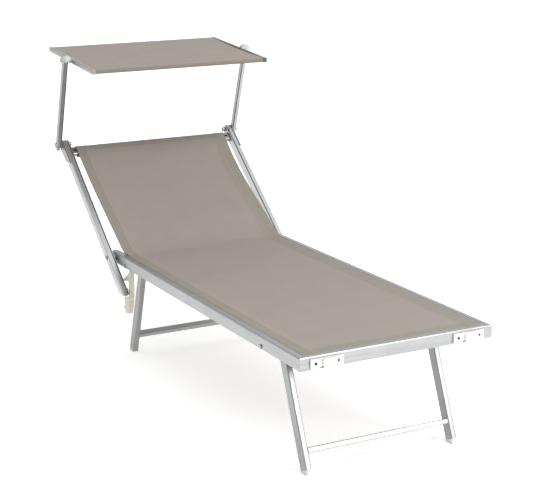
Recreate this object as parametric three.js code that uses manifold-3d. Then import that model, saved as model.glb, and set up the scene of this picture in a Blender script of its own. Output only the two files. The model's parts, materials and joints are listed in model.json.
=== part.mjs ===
// A folding sun lounger with a tilting sun canopy on two arms, in millimetres, Z up.
// Lengths along the lounger are measured from the front of the foot crossbar (Y = 0) to the head.
// The last lines centre the whole lounger on its own footprint.

import * as THREE from 'three';
import { mergeVertices } from 'three/addons/utils/BufferGeometryUtils.js';
import Module from 'manifold-3d';

const wasm = await Module();
wasm.setup();

// Clearances shared by all pieces
const seamGap = 0.3;
const boreClearance = 0.35;
const cutOverrun = 6;
const weldDistance = 0.01;

// Seat frame
const frameWidth = 630;
const railLength = 1372;
const railTopHeight = 380;
const railWidth = 25;
const railDepth = 40;
const railWall = 1.8;
const railCornerRadius = 5;
const railSlotInset = 3;
const railSlotWidth = 3.2;
const railChannelRadius = 3.4;
const railChannelDepth = 6.5;
const railLipDrop = 2.1;

// Woven fabric, shared by seat, back and canopy
const fabricThickness = 1.6;
const fabricBeadRadius = 2.4;

// Rear crossbar that the seat fabric lies on
const rearBarRadius = 16;
const rearBarWall = 1.8;
const rearBarSetback = 29;

// Foot bumpers and their screws
const bumperInset = 83;
const bumperLength = 104;
const bumperHeight = 28;
const bumperPlate = 4;
const bumperPad = 3.6;
const bumperPadLength = 46;
const bumperPadShift = 9;
const bumperEndRadius = 3;
const bumperScrewSpacing = 70;
const bumperWellRadius = 4.6;
const bumperWellFloor = 1.6;
const bumperScallopRadius = 9;
const bumperScallopBite = 4.5;
const bumperLift = -2;
const screwHeadRadius = 3.6;
const screwHeadHeight = 1.4;
const screwShankRadius = 1.9;
const screwLength = 12;

// Leg frames
const legInset = 59;
const legWidth = 20;
const legDepth = 35.6;
const legWall = 1.6;
const legCornerRadius = 4.5;
const legPivotDrop = 31;
const legCavityTop = 34;
const legTubeRadius = 11;
const legTubeBoreDepth = 42;
const frontLegSetback = 229.3;
const frontLegAngle = 21.9;
const rearLegSetback = 116.8;
const rearLegAngle = 18.8;
const footCapHeel = 5;
const footCapEdge = 7;
const footCapPlug = 16;
const legBarHeight = 15;
const legBarDepth = 25;
const legBarWall = 1.5;
const legBarCorner = 2.5;
const frontLegBarRise = 61;
const rearLegBarRise = 69;
const legBarSetback = 1;

// Pivot bolts
const boltRadius = 4;
const legBoltHeadRadius = 7.5;
const legBoltHeadHeight = 3.4;
const legBoltReach = 36;
const pivotBoltHeadRadius = 8;
const pivotBoltHeadHeight = 4;
const pivotNutRadius = 7;
const pivotNutHeight = 6.5;

// Backrest
const backPivotSetback = 18;
const backAngle = 39.2;
const backTubeGap = 6;
const backTubeWidth = 22;
const backTubeDepth = 32;
const backTubeWall = 1.6;
const backTubeCorner = 4;
const backSlotInset = 1.8;
const backSlotWidth = 4.6;
const backChannelRadius = 3;
const backChannelDepth = 5.4;
const backEndDrop = 122;
const backSolidTop = 22;
const backPlugDepth = 18;
const washerRadius = 10.5;
const topBarHeight = 34;
const topBarDepth = 18;
const topBarWall = 1.6;
const topBarCorner = 4;
const topBarPlace = 494.9;
const topSlotLength = 17;
const topSlotHeight = 6;
const topSlotInset = 7.5;
const backFabricMargin = 31.5;
const backFabricStart = 20.5;
const backFabricHem = 30;
const pegPlace = 150;
const pegRadius = 11;
const pegEdge = 1.2;

// Plates that stiffen the tube ends at the arm joints
const jointPlate = 4;
const jointPlateFront = 104;
const jointPlateRear = 70;

// Racks under the side rails
const rackPivotDrop = 30;
const rackThickness = 17.5;
const rackNeckThickness = 14;
const rackNeckSetback = 3;
const rackHeadRadius = 9;
const rackSpine = 10;
const rackShoulder = 20;
const rackHornReach = 50;
const rackHornDrop = 51;
const rackHornTip = 5;
const rackNotchTop = 48;
const rackShelfFront = 103;
const rackShelfRear = 113;
const rackShelfReach = 48;
const rackBlockDepth = 154;
const rackHeel = 18;
const rackBottom = 169;
const rackToothReach = 18;
const rackToothHeight = 9;
const rackRound = 4;
const rackSlotHalf = 22;
const rackPinRadius = 3;
const rackPinHeadRadius = 5.5;
const rackPinHeadHeight = 2.4;

// Canopy arms
const armJointPlace = 535;
const armLength = 341.8;
const armAngle = 109.5;
const armWidth = 18;
const armDepth = 16;
const armWall = 1.5;
const armCorner = 3;
const armSlotInset = 1.6;
const armSlotWidth = 4.4;
const armChannelRadius = 2.6;
const armChannelDepth = 4.4;
const armTail = 20;
const armTailRear = 3;
const armSolidEnd = 18;
const armTopRadius = 9;
const armBoltHeadRadius = 8;
const armBoltHeadHeight = 4.5;
const armNutRadius = 7.5;
const armNutHeight = 12;

// Canopy
const canopyTilt = 5.1;
const canopyTiltReach = 45;
const canopyRise = 5.1;
const canopyDepth = 444.1;
const canopyFrontReach = 218.3;
const canopyRailWidth = 15;
const canopyRailHeight = 16.5;
const canopyRailWall = 1.3;
const canopyRailCorner = 2.5;
const canopySlotInset = 1.6;
const canopySlotWidth = 3;
const canopyChannelRadius = 2.7;
const canopyChannelDepth = 5.6;
const canopyLipDrop = 2.1;
const canopyBarHeight = 12.4;
const canopyBarDepth = 16;
const canopyBarWall = 1.4;
const canopyBarCorner = 4;
const canopyHem = 15;
const canopyPlugHead = 3;
const canopyPlugDepth = 14;
const hubReach = 9.6;
const hubCheek = 3.5;
const hubRadius = 16;
const hubEndRadius = 9.5;
const hubDrop = 8;
const hubBaseLength = 30;
const hubBaseThickness = 4;
const hubBaseRadius = 4;
const hubBaseMargin = 1;
const hubBoltHeadRadius = 8;
const hubBoltHeadHeight = 4.5;
const hubBoltBite = 6;

// Places worked out from the sizes above
const railOuter = frameWidth / 2;
const railInner = railOuter - railWidth;
const railMidHeight = railTopHeight - railDepth / 2;
const slotCentre = railInner + railSlotInset + railSlotWidth / 2;
const fabricSeat = railTopHeight - railLipDrop + seamGap;
const legOuter = railOuter - legInset;
const legInner = legOuter - legWidth;
const tubeInner = railOuter + backTubeGap;
const tubeOuter = tubeInner + backTubeWidth;
const plateOuter = tubeOuter + seamGap + jointPlate;
const armInner = plateOuter + seamGap * 2;
const armOuter = armInner + armWidth;
const hubOuter = armOuter + seamGap + hubCheek;
const canopyOuter = armInner - seamGap * 2 - hubReach;
const canopyInner = canopyOuter - canopyRailWidth;
const backPivotPlace = railLength - backPivotSetback;
const backPivotHeight = railMidHeight;
const backEndHeight = railTopHeight - backEndDrop;
const legPivotHeight = railTopHeight - legPivotDrop;
const rackPivotHeight = railTopHeight - rackPivotDrop;
const bumperCentre = railOuter - bumperInset;
const backFabricHalfWidth = tubeInner - backFabricMargin;
const backRadians = THREE.MathUtils.degToRad(backAngle);

// The seat fabric ends just before the lower edge of the back fabric, so that nothing overhangs it.
const backFabricFront = topBarDepth / 2 + seamGap + fabricThickness;
const foldPlace = backPivotPlace + backFabricStart * Math.cos(backRadians) - backFabricFront * Math.sin(backRadians);

// Colours and surfaces
const aluminium = { color: 0xb9bcbe, roughness: 0.42, metalness: 0.9 };
const steel = { color: 0x8f9294, roughness: 0.35, metalness: 1 };
const blackSteel = { color: 0x2b2c2e, roughness: 0.5, metalness: 0.6 };
const whiteNylon = { color: 0xeeeeea, roughness: 0.5, metalness: 0 };
const ivoryNylon = { color: 0xd2ccba, roughness: 0.55, metalness: 0 };
const greyNylon = { color: 0x55585a, roughness: 0.6, metalness: 0 };
const greenNylon = { color: 0x5a6c61, roughness: 0.55, metalness: 0 };
const stoneNylon = { color: 0xa5a199, roughness: 0.55, metalness: 0 };
const taupeFabric = { color: 0xaaa19a, roughness: 0.9, metalness: 0 };

const roundSegments = 16;
const screwSegments = 10;
const arcSegments = 3;
const hubSteps = 6;

function named(name, geometry, look) {
  const mesh = new THREE.Mesh(geometry, new THREE.MeshStandardMaterial(look));
  mesh.name = name;
  return mesh;
}

function solidOf(geometry) {
  const bare = geometry.clone();
  bare.deleteAttribute('normal');
  bare.deleteAttribute('uv');
  const welded = mergeVertices(bare);
  const mesh = new wasm.Mesh({
    numProp: 3,
    vertProperties: new Float32Array(welded.attributes.position.array),
    triVerts: new Uint32Array(welded.index.array),
  });
  return new wasm.Manifold(mesh);
}

function geometryOf(solid) {
  const mesh = solid.getMesh();
  const geometry = new THREE.BufferGeometry();
  geometry.setAttribute('position', new THREE.BufferAttribute(new Float32Array(mesh.vertProperties), 3));
  geometry.setIndex(new THREE.BufferAttribute(new Uint32Array(mesh.triVerts), 1));
  geometry.computeVertexNormals();
  return geometry;
}

function cut(base, ...tools) {
  return geometryOf(tools.reduce((solid, tool) => solid.subtract(solidOf(tool)), solidOf(base)));
}

function join(base, ...others) {
  return geometryOf(others.reduce((solid, other) => solid.add(solidOf(other)), solidOf(base)));
}

function common(base, other) {
  return geometryOf(solidOf(base).intersect(solidOf(other)));
}

// A flat outline through points given as [x, y] pairs.
function outline(points) {
  return new THREE.Shape(points.map(([x, y]) => new THREE.Vector2(x, y)));
}

// The same outline with left and right exchanged where side is -1.
function onSide(shape, side) {
  const flip = (points) => points.map((point) => new THREE.Vector2(side * point.x, point.y));
  const drawn = shape.extractPoints(arcSegments);
  const copy = new THREE.Shape(flip(drawn.shape));
  copy.holes = drawn.holes.map((hole) => new THREE.Path(flip(hole)));
  return copy;
}

function roundedRect(width, height, radius) {
  const x = width / 2;
  const y = height / 2;
  const shape = new THREE.Shape();
  shape.moveTo(x, -y + radius);
  shape.lineTo(x, y - radius);
  shape.absarc(x - radius, y - radius, radius, 0, Math.PI / 2, false);
  shape.absarc(-x + radius, y - radius, radius, Math.PI / 2, Math.PI, false);
  shape.absarc(-x + radius, -y + radius, radius, Math.PI, Math.PI * 1.5, false);
  shape.absarc(x - radius, -y + radius, radius, Math.PI * 1.5, Math.PI * 2, false);
  return shape;
}

// A rounded rectangle with a smaller one taken out of it.
function hollowRect(width, height, radius, wall) {
  const shape = roundedRect(width, height, radius);
  const bore = roundedRect(width - wall * 2, height - wall * 2, radius - wall / 2);
  shape.holes.push(new THREE.Path(bore.extractPoints(arcSegments).shape));
  return shape;
}

// The extruded frame section: +x is outboard, +y is the face that carries the fabric slot.
// The slot opens from that face into a round channel that holds a bead.
function slottedSection(size) {
  const { width, depth, radius, slotInset, slotWidth, channelRadius, channelDepth, lipDrop } = size;
  const x = width / 2;
  const y = depth / 2;
  const lip = -x + slotInset;
  const step = lip + slotWidth;
  const centre = (lip + step) / 2;
  const channel = y - channelDepth;
  const rise = Math.sqrt(channelRadius ** 2 - (slotWidth / 2) ** 2);
  const start = Math.atan2(rise, -slotWidth / 2);
  const end = Math.atan2(rise, slotWidth / 2) + Math.PI * 2;
  const shape = new THREE.Shape();
  shape.moveTo(step, y);
  shape.lineTo(x - radius, y);
  shape.absarc(x - radius, y - radius, radius, Math.PI / 2, 0, true);
  shape.absarc(x - radius, -y + radius, radius, 0, -Math.PI / 2, true);
  shape.absarc(-x + radius, -y + radius, radius, -Math.PI / 2, -Math.PI, true);
  shape.lineTo(-x, y - lipDrop);
  shape.lineTo(lip, y - lipDrop);
  shape.absarc(centre, channel, channelRadius, start, end, false);
  return shape;
}

// The void beside and below the channel of a slotted section.
function sectionVoid(size) {
  const { width, depth, wall, slotInset, slotWidth, channelRadius, channelDepth } = size;
  const x = width / 2 - wall;
  const y = depth / 2 - wall;
  const beside = -width / 2 + slotInset + slotWidth / 2 + channelRadius + wall;
  const below = depth / 2 - channelDepth - channelRadius - wall;
  return outline([[beside, y], [x, y], [x, -y], [-x, -y], [-x, below], [beside, below]]);
}

// Points that fall together where an arc meets a line are taken once, and the outline runs
// counterclockwise.
function extrude(shape, length) {
  const drawn = shape.extractPoints(arcSegments);
  const tidy = (points) => points.filter((point, index) => (
    point.distanceTo(points[(index + 1) % points.length]) > weldDistance));
  const rim = tidy(drawn.shape);
  const flat = new THREE.Shape(THREE.ShapeUtils.isClockWise(rim) ? rim.reverse() : rim);
  flat.holes = drawn.holes.map((hole) => new THREE.Path(tidy(hole)));
  return new THREE.ExtrudeGeometry(flat, { depth: length, bevelEnabled: false, steps: 1 });
}

// An outline drawn in the YZ plane, extruded along X between two places.
function acrossX(shape, from, to) {
  const geometry = extrude(shape, to - from);
  geometry.applyMatrix4(new THREE.Matrix4().makeBasis(
    new THREE.Vector3(0, 1, 0), new THREE.Vector3(0, 0, 1), new THREE.Vector3(1, 0, 0)));
  geometry.translate(from, 0, 0);
  return geometry;
}

// An outline drawn in the XZ plane, extruded along Y between two places.
function alongY(shape, from, to) {
  const geometry = extrude(shape, to - from);
  geometry.applyMatrix4(new THREE.Matrix4().makeBasis(
    new THREE.Vector3(1, 0, 0), new THREE.Vector3(0, 0, 1), new THREE.Vector3(0, -1, 0)));
  geometry.translate(0, to, 0);
  return geometry;
}

// An outline drawn in the XY plane, extruded along Z between two places.
function alongZ(shape, from, to) {
  const geometry = extrude(shape, to - from);
  geometry.translate(0, 0, from);
  return geometry;
}

// A round bar along X between two places.
function roundX(radius, from, to, y = 0, z = 0) {
  const geometry = new THREE.CylinderGeometry(radius, radius, to - from, roundSegments);
  geometry.rotateZ(Math.PI / 2);
  geometry.translate((from + to) / 2, y, z);
  return geometry;
}

function boreX(radius, half, y = 0, z = 0) {
  return roundX(radius + boreClearance, -half, half, y, z);
}

function circle(radius) {
  const turn = (index) => (index / roundSegments) * Math.PI * 2;
  return Array.from({ length: roundSegments }, (_, index) => new THREE.Vector2(
    radius * Math.cos(turn(index)), radius * Math.sin(turn(index))));
}

function roundTube(radius, wall, half) {
  const shape = new THREE.Shape(circle(radius));
  shape.holes.push(new THREE.Path(circle(radius - wall)));
  return acrossX(shape, -half, half);
}

// A turned piece: its profile is radius against distance along the axis, which points outboard.
function turned(profile, side) {
  const points = profile.map(([radius, along]) => new THREE.Vector2(radius, along));
  const geometry = new THREE.LatheGeometry(points, roundSegments);
  geometry.rotateZ(-side * Math.PI / 2);
  return geometry;
}

// A domed bolt whose shank ends at 0 and whose head seats at the given length.
// A nut of the given size stands on the inboard end where nutHeight is above 0.
function boltProfile(length, headRadius, headHeight, nutRadius = 0, nutHeight = 0) {
  const dome = headHeight / 2;
  const edge = boltRadius / 4;
  const inner = nutHeight > 0
    ? [[0, -nutHeight], [nutRadius - edge * 2, -nutHeight], [nutRadius, edge * 2 - nutHeight], [nutRadius, 0]]
    : [[0, 0]];
  const head = [[headRadius, length], [headRadius, length + dome], [headRadius - edge * 2, length + headHeight],
    [0, length + headHeight]];
  return [...inner, [boltRadius, 0], [boltRadius, length], ...head];
}

const railSize = {
  width: railWidth, depth: railDepth, radius: railCornerRadius, wall: railWall, slotInset: railSlotInset,
  slotWidth: railSlotWidth, channelRadius: railChannelRadius, channelDepth: railChannelDepth, lipDrop: railLipDrop,
};
const tubeSize = {
  width: backTubeWidth, depth: backTubeDepth, radius: backTubeCorner, wall: backTubeWall,
  slotInset: backSlotInset, slotWidth: backSlotWidth, channelRadius: backChannelRadius,
  channelDepth: backChannelDepth, lipDrop: 0,
};
const canopyRailSize = {
  width: canopyRailWidth, depth: canopyRailHeight, radius: canopyRailCorner, wall: canopyRailWall,
  slotInset: canopySlotInset, slotWidth: canopySlotWidth, channelRadius: canopyChannelRadius,
  channelDepth: canopyChannelDepth, lipDrop: canopyLipDrop,
};
const armSize = {
  width: armWidth, depth: armDepth, radius: armCorner, wall: armWall, slotInset: armSlotInset,
  slotWidth: armSlotWidth, channelRadius: armChannelRadius, channelDepth: armChannelDepth, lipDrop: 0,
};

const sides = [{ side: -1, label: 'left' }, { side: 1, label: 'right' }];
const frontPivotPlace = frontLegSetback;
const rearPivotPlace = railLength - rearLegSetback;
const pegForward = pegPlace * Math.cos(backRadians) + pegRadius;
const rackPivotPlace = backPivotPlace - pegForward - seamGap - rackSpine / 2;
const rackInner = railOuter - rackThickness;
const neckOuter = railOuter - rackNeckSetback;
const neckInner = neckOuter - rackNeckThickness;

// Side rails, cut to a mitre at the foot
function sideRail(side) {
  const section = slottedSection(railSize);
  section.holes.push(new THREE.Path(sectionVoid(railSize).extractPoints(arcSegments).shape));
  const bar = alongY(onSide(section, side), 0, railLength);
  bar.translate(side * (railOuter - railWidth / 2), 0, railMidHeight);
  const mitre = outline([
    [side * (railOuter + cutOverrun), seamGap / 2 - cutOverrun],
    [side * (railInner - cutOverrun), seamGap / 2 + railWidth + cutOverrun],
    [side * (railInner - cutOverrun), -cutOverrun * 2],
    [side * (railOuter + cutOverrun), -cutOverrun * 2],
  ]);
  const half = railOuter + cutOverrun;
  const slot = outline([[side * (neckInner - seamGap * 2), rackPivotPlace - rackSlotHalf],
    [side * (neckOuter + seamGap * 2), rackPivotPlace - rackSlotHalf],
    [side * (neckOuter + seamGap * 2), rackPivotPlace + rackSlotHalf],
    [side * (neckInner - seamGap * 2), rackPivotPlace + rackSlotHalf]]);
  const railBottom = railTopHeight - railDepth;
  return cut(bar,
    alongZ(mitre, railBottom - cutOverrun, railTopHeight + cutOverrun),
    alongZ(slot, railBottom - cutOverrun, railBottom + railWall * 2),
    boreX(boltRadius, half, frontPivotPlace, legPivotHeight),
    boreX(boltRadius, half, rearPivotPlace, legPivotHeight),
    boreX(boltRadius, half, backPivotPlace, backPivotHeight),
    boreX(rackPinRadius, half, rackPivotPlace, rackPivotHeight));
}

function footCrossbar() {
  const section = slottedSection(railSize);
  section.holes.push(new THREE.Path(sectionVoid(railSize).extractPoints(arcSegments).shape));
  const bar = extrude(section, frameWidth);
  bar.applyMatrix4(new THREE.Matrix4().makeBasis(
    new THREE.Vector3(0, -1, 0), new THREE.Vector3(0, 0, 1), new THREE.Vector3(-1, 0, 0)));
  bar.translate(railOuter, railWidth / 2, railMidHeight);
  const mitres = sides.map(({ side }) => alongZ(outline([
    [side * (railOuter + cutOverrun), -seamGap / 2 - cutOverrun],
    [side * (railInner - cutOverrun), -seamGap / 2 + railWidth + cutOverrun],
    [side * (railOuter + cutOverrun), -seamGap / 2 + railWidth + cutOverrun],
  ]), railTopHeight - railDepth - cutOverrun, railTopHeight + cutOverrun));
  const holes = [];
  for (const { side } of sides) {
    for (const end of [-1, 1]) {
      const hole = new THREE.CylinderGeometry(screwShankRadius + boreClearance, screwShankRadius + boreClearance,
        railWall * 4, roundSegments);
      hole.translate(side * bumperCentre + end * bumperScrewSpacing / 2, 0, railMidHeight + bumperLift);
      holes.push(hole);
    }
  }
  return cut(bar, ...mitres, ...holes);
}

// A level sheet between two slots, with an edge turned down into each channel and beaded there.
function beadedSheet(slot, bottom, channel, beadRadius) {
  const web = fabricThickness / 2;
  const rise = Math.sqrt(beadRadius ** 2 - web ** 2);
  const start = Math.atan2(rise, web);
  const end = Math.atan2(rise, -web) - Math.PI * 2;
  const edge = new THREE.Shape();
  edge.moveTo(slot + web, bottom + fabricThickness);
  edge.lineTo(slot + web, channel + rise);
  edge.absarc(slot, channel, beadRadius, start, end, true);
  edge.lineTo(slot - web, bottom);
  edge.lineTo(-slot + web, bottom);
  edge.absarc(-slot, channel, beadRadius, start, end, true);
  edge.lineTo(-slot - web, bottom + fabricThickness);
  return edge;
}

// The seat fabric: one sheet with a bead along both sides and the foot, each ending short of the corner
function seatFabric() {
  const channel = railTopHeight - railChannelDepth;
  const web = fabricThickness / 2;
  const rise = Math.sqrt(fabricBeadRadius ** 2 - web ** 2);
  const footSlot = railOuter - slotCentre;
  const notch = fabricBeadRadius * 2;
  const edge = beadedSheet(slotCentre, fabricSeat, channel, fabricBeadRadius);
  const sheet = alongY(edge, footSlot + notch, foldPlace - seamGap * 2);
  const half = slotCentre + web;
  const level = fabricSeat + fabricThickness;
  const corner = outline([[-half, fabricSeat], [half, fabricSeat], [half, level], [-half, level]]);
  const foot = new THREE.Shape();
  foot.moveTo(footSlot - web, fabricSeat + fabricThickness);
  foot.lineTo(footSlot + web, fabricSeat + fabricThickness);
  foot.absarc(footSlot, channel, fabricBeadRadius, Math.atan2(rise, web), Math.atan2(rise, -web) - Math.PI * 2, true);
  return join(sheet, alongY(corner, footSlot - web, footSlot + notch + web),
    acrossX(foot, notch - slotCentre, slotCentre - notch));
}

// Both bumpers are the same moulding, so its pad and scallop sit off centre the same way on each.
function bumper() {
  const plate = roundedRect(bumperLength, bumperHeight, bumperEndRadius);
  const pad = roundedRect(bumperPadLength, bumperHeight - bumperEndRadius, bumperEndRadius * 2);
  const body = alongY(plate, -bumperPlate, 0);
  const raised = alongY(pad, -bumperPlate - bumperPad, -bumperPlate / 2);
  raised.translate(bumperPadShift, 0, 0);
  const scallop = new THREE.CylinderGeometry(bumperScallopRadius, bumperScallopRadius,
    (bumperPlate + bumperPad) * 2, roundSegments);
  const scallopPlace = bumperPadShift - bumperPadLength / 2 - bumperScallopBite / 2;
  scallop.translate(scallopPlace, -bumperPlate - bumperPad, -bumperHeight / 2 - bumperScallopRadius + bumperScallopBite);
  const wells = [];
  for (const end of [-1, 1]) {
    const well = new THREE.CylinderGeometry(bumperWellRadius, bumperWellRadius, bumperPlate * 2, roundSegments);
    well.translate(end * bumperScrewSpacing / 2, -bumperPlate - bumperWellFloor, 0);
    const hole = new THREE.CylinderGeometry(screwShankRadius + boreClearance, screwShankRadius + boreClearance,
      bumperPlate * 4, roundSegments);
    hole.translate(end * bumperScrewSpacing / 2, 0, 0);
    wells.push(well, hole);
  }
  return cut(join(body, raised), scallop, ...wells);
}

function bumperScrew() {
  const head = -bumperWellFloor - seamGap * 2;
  const profile = [[0, head - screwHeadHeight], [screwHeadRadius / 2, head - screwHeadHeight],
    [screwHeadRadius, head - screwHeadHeight / 3], [screwHeadRadius, head], [screwShankRadius, head],
    [screwShankRadius, screwLength + head], [0, screwLength + head]];
  return new THREE.LatheGeometry(profile.map(([r, y]) => new THREE.Vector2(r, y)), screwSegments);
}

const lounger = new THREE.Group();
const seatFrame = new THREE.Group();
lounger.add(seatFrame);

seatFrame.add(named('foot_crossbar', footCrossbar(), aluminium));
const rearBar = named('rear_crossbar', roundTube(rearBarRadius, rearBarWall, railInner - seamGap), aluminium);
rearBar.position.set(0, backPivotPlace - rearBarSetback, fabricSeat - seamGap - rearBarRadius);
seatFrame.add(rearBar);
seatFrame.add(named('seat_fabric', seatFabric(), taupeFabric));

for (const { side, label } of sides) {
  seatFrame.add(named(`side_rail_${label}`, sideRail(side), aluminium));

  const pad = named(`bumper_${label}`, bumper(), whiteNylon);
  pad.position.set(side * bumperCentre, -seamGap, railMidHeight + bumperLift);
  seatFrame.add(pad);
  for (const [end, place] of [[-1, 'a'], [1, 'b']]) {
    const screw = named(`bumper_screw_${label}_${place}`, bumperScrew(), blackSteel);
    screw.position.set(side * bumperCentre + end * bumperScrewSpacing / 2, -seamGap, railMidHeight + bumperLift);
    seatFrame.add(screw);
  }

  for (const [legs, place] of [['front', frontPivotPlace], ['rear', rearPivotPlace]]) {
    const length = railWidth + seamGap * 2 + legBoltReach;
    const profile = boltProfile(length, legBoltHeadRadius, legBoltHeadHeight);
    const bolt = named(`${legs}_leg_bolt_${label}`, turned(profile, side), steel);
    bolt.position.set(side * (railOuter + seamGap - length), place, legPivotHeight);
    seatFrame.add(bolt);
  }

  const span = tubeOuter - railInner + seamGap * 2;
  const pivotProfile = boltProfile(span, pivotBoltHeadRadius, pivotBoltHeadHeight, pivotNutRadius, pivotNutHeight);
  const pivot = named(`backrest_pivot_bolt_${label}`, turned(pivotProfile, side), steel);
  pivot.position.set(side * (railInner - seamGap), backPivotPlace, backPivotHeight);
  seatFrame.add(pivot);

  const washer = cut(roundX(washerRadius, seamGap, backTubeGap - seamGap), boreX(boltRadius, backTubeGap * 2));
  const spacer = named(`pivot_washer_${label}`, washer, whiteNylon);
  spacer.position.set(side < 0 ? -tubeInner : railOuter, backPivotPlace, backPivotHeight);
  seatFrame.add(spacer);

  const pinLength = railWidth + seamGap;
  const pinProfile = [[0, -rackPinHeadHeight], [rackPinHeadRadius, -rackPinHeadHeight / 2], [rackPinHeadRadius, 0],
    [rackPinRadius, 0], [rackPinRadius, pinLength], [0, pinLength]];
  const pin = named(`rack_pin_${label}`, turned(pinProfile, side), steel);
  pin.position.set(side * (railInner - seamGap), rackPivotPlace, rackPivotHeight);
  seatFrame.add(pin);
}

// Racks: each hangs from its pin inside the rail, so that the peg of the backrest tube stands in the
// rack's notch, a seam gap outboard of it.
// The outline is drawn about the pin, with y towards the head.
function rackOutline() {
  const front = -rackSpine / 2;
  const back = rackSpine / 2;
  const shape = new THREE.Shape();
  shape.moveTo(back, -rackShoulder);
  shape.lineTo(rackHornReach, -rackHornDrop);
  shape.lineTo(rackHornReach - rackRound / 2, -rackHornDrop - rackHornTip);
  shape.lineTo(back + rackRound, -rackNotchTop);
  shape.quadraticCurveTo(back, -rackNotchTop, back, -rackNotchTop - rackRound);
  shape.lineTo(back, -rackShelfFront + rackRound);
  shape.quadraticCurveTo(back, -rackShelfFront, back + rackRound, -rackShelfFront);
  shape.lineTo(rackShelfReach - rackRound, -rackShelfRear);
  shape.quadraticCurveTo(rackShelfReach, -rackShelfRear, rackShelfReach, -rackShelfRear - rackRound);
  shape.lineTo(rackShelfReach - rackRound, -rackBlockDepth + rackToothHeight);
  shape.lineTo(rackShelfReach - rackRound + rackToothReach, -rackBlockDepth);
  shape.lineTo(rackShelfReach - rackRound, -rackBlockDepth - rackToothHeight / 2);
  shape.quadraticCurveTo(rackShelfReach - rackRound, -rackBottom, rackShelfReach - rackRound * 3, -rackBottom);
  shape.lineTo(rackHeel + rackRound, -rackBottom);
  shape.quadraticCurveTo(rackHeel, -rackBottom, rackHeel - rackRound / 2, -rackBottom + rackRound);
  shape.lineTo(front, -rackShelfFront + rackSpine);
  shape.lineTo(front, -rackShoulder);
  return shape;
}

function rack(side) {
  const place = (near, far) => (side > 0 ? [near, far] : [-far, -near]);
  const body = acrossX(rackOutline(), ...place(rackInner, railOuter));
  const neck = outline([[-rackSpine / 2, 0], [-rackSpine / 2, -rackShoulder - rackSpine],
    [rackSpine / 2, -rackShoulder - rackSpine], [rackSpine / 2, 0]]);
  const stem = acrossX(neck, ...place(neckInner, neckOuter));
  const head = roundX(rackHeadRadius, ...place(neckInner, neckOuter));
  return cut(join(body, stem, head), boreX(rackPinRadius, railOuter + cutOverrun));
}

for (const { side, label } of sides) {
  const mesh = named(`rack_${label}`, rack(side), ivoryNylon);
  mesh.position.set(0, rackPivotPlace, rackPivotHeight);
  lounger.add(mesh);
}

// One leg, drawn upright with its pivot at the origin
function leg(length) {
  const bottom = -length;
  const section = alongZ(roundedRect(legWidth, legDepth, legCornerRadius), bottom, legDepth);
  const side = new THREE.Shape();
  side.moveTo(-legDepth / 2, bottom - cutOverrun);
  side.lineTo(legDepth / 2, bottom - cutOverrun);
  side.lineTo(legDepth / 2, 0);
  side.absarc(0, 0, legDepth / 2, 0, Math.PI, false);
  const body = common(section, acrossX(side, -legWidth, legWidth));
  const inner = roundedRect(legWidth - legWall * 2, legDepth - legWall * 2, legCornerRadius - legWall / 2);
  return cut(body, alongZ(inner, bottom - cutOverrun, -legCavityTop), boreX(legTubeRadius, legWidth));
}

// The cap is a plug in the leg with a foot below it, cut off level with the ground.
function footCap(length, lean) {
  const ground = (y) => (-legPivotHeight - y * Math.sin(lean)) / Math.cos(lean);
  const top = -length - seamGap;
  const half = legDepth / 2;
  const low = lean < 0 ? -1 : 1;
  const foot = new THREE.Shape();
  foot.moveTo(half, top);
  foot.lineTo(-half, top);
  const corner = (end) => {
    const edge = end === low ? footCapEdge : footCapEdge / 2;
    const wall = ground(end * half) + edge;
    const floor = end * (half - edge);
    if (end < 0) {
      foot.lineTo(-half, wall);
      foot.quadraticCurveTo(-half, ground(-half), floor, ground(floor));
    } else {
      foot.lineTo(floor, ground(floor));
      foot.quadraticCurveTo(half, ground(half), half, wall);
    }
  };
  corner(-1);
  corner(1);
  const section = alongZ(roundedRect(legWidth, legDepth, legCornerRadius), -length * 2, 0);
  const body = common(acrossX(foot, -legWidth, legWidth), section);
  const gap = legWall + seamGap;
  const plug = roundedRect(legWidth - gap * 2, legDepth - gap * 2, legCornerRadius - gap / 2);
  return join(body, alongZ(plug, top - footCapHeel / 2, top + footCapPlug));
}

function legFrame(name, pivotPlace, leanDegrees, barRise) {
  const lean = THREE.MathUtils.degToRad(leanDegrees);
  const group = new THREE.Group();
  group.position.set(0, pivotPlace, legPivotHeight);
  group.rotation.x = lean;
  const shortSide = (legPivotHeight - legDepth / 2 * Math.sin(Math.abs(lean))) / Math.cos(lean);
  const length = shortSide - footCapHeel;
  for (const { side, label } of sides) {
    const centre = side * (legOuter - legWidth / 2);
    const post = named(`${name}_leg_${label}`, leg(length), aluminium);
    const cap = named(`${name}_foot_cap_${label}`, footCap(length, lean), whiteNylon);
    post.position.x = centre;
    cap.position.x = centre;
    group.add(post, cap);
  }
  const half = railInner - seamGap;
  const bores = sides.map(({ side }) => roundX(boltRadius + boreClearance,
    side * half - legTubeBoreDepth, side * half + legTubeBoreDepth));
  group.add(named(`${name}_leg_tube`, cut(roundX(legTubeRadius, -half, half), ...bores), aluminium));
  const section = hollowRect(legBarDepth, legBarHeight, legBarCorner, legBarWall);
  const bar = named(`${name}_leg_crossbar`, acrossX(section, seamGap - legInner, legInner - seamGap), aluminium);
  const drop = (legPivotHeight - barRise) / Math.cos(lean);
  bar.position.set(0, (legBarDepth - legDepth) / 2 + legBarSetback, -drop);
  group.add(bar);
  return group;
}

lounger.add(legFrame('front', frontPivotPlace, -frontLegAngle, frontLegBarRise));
lounger.add(legFrame('rear', rearPivotPlace, rearLegAngle, rearLegBarRise));

// Backrest, drawn with y up along the tubes and z out of its front
const backrest = new THREE.Group();
backrest.position.set(0, backPivotPlace, backPivotHeight);
backrest.rotation.x = backRadians;
lounger.add(backrest);

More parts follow.
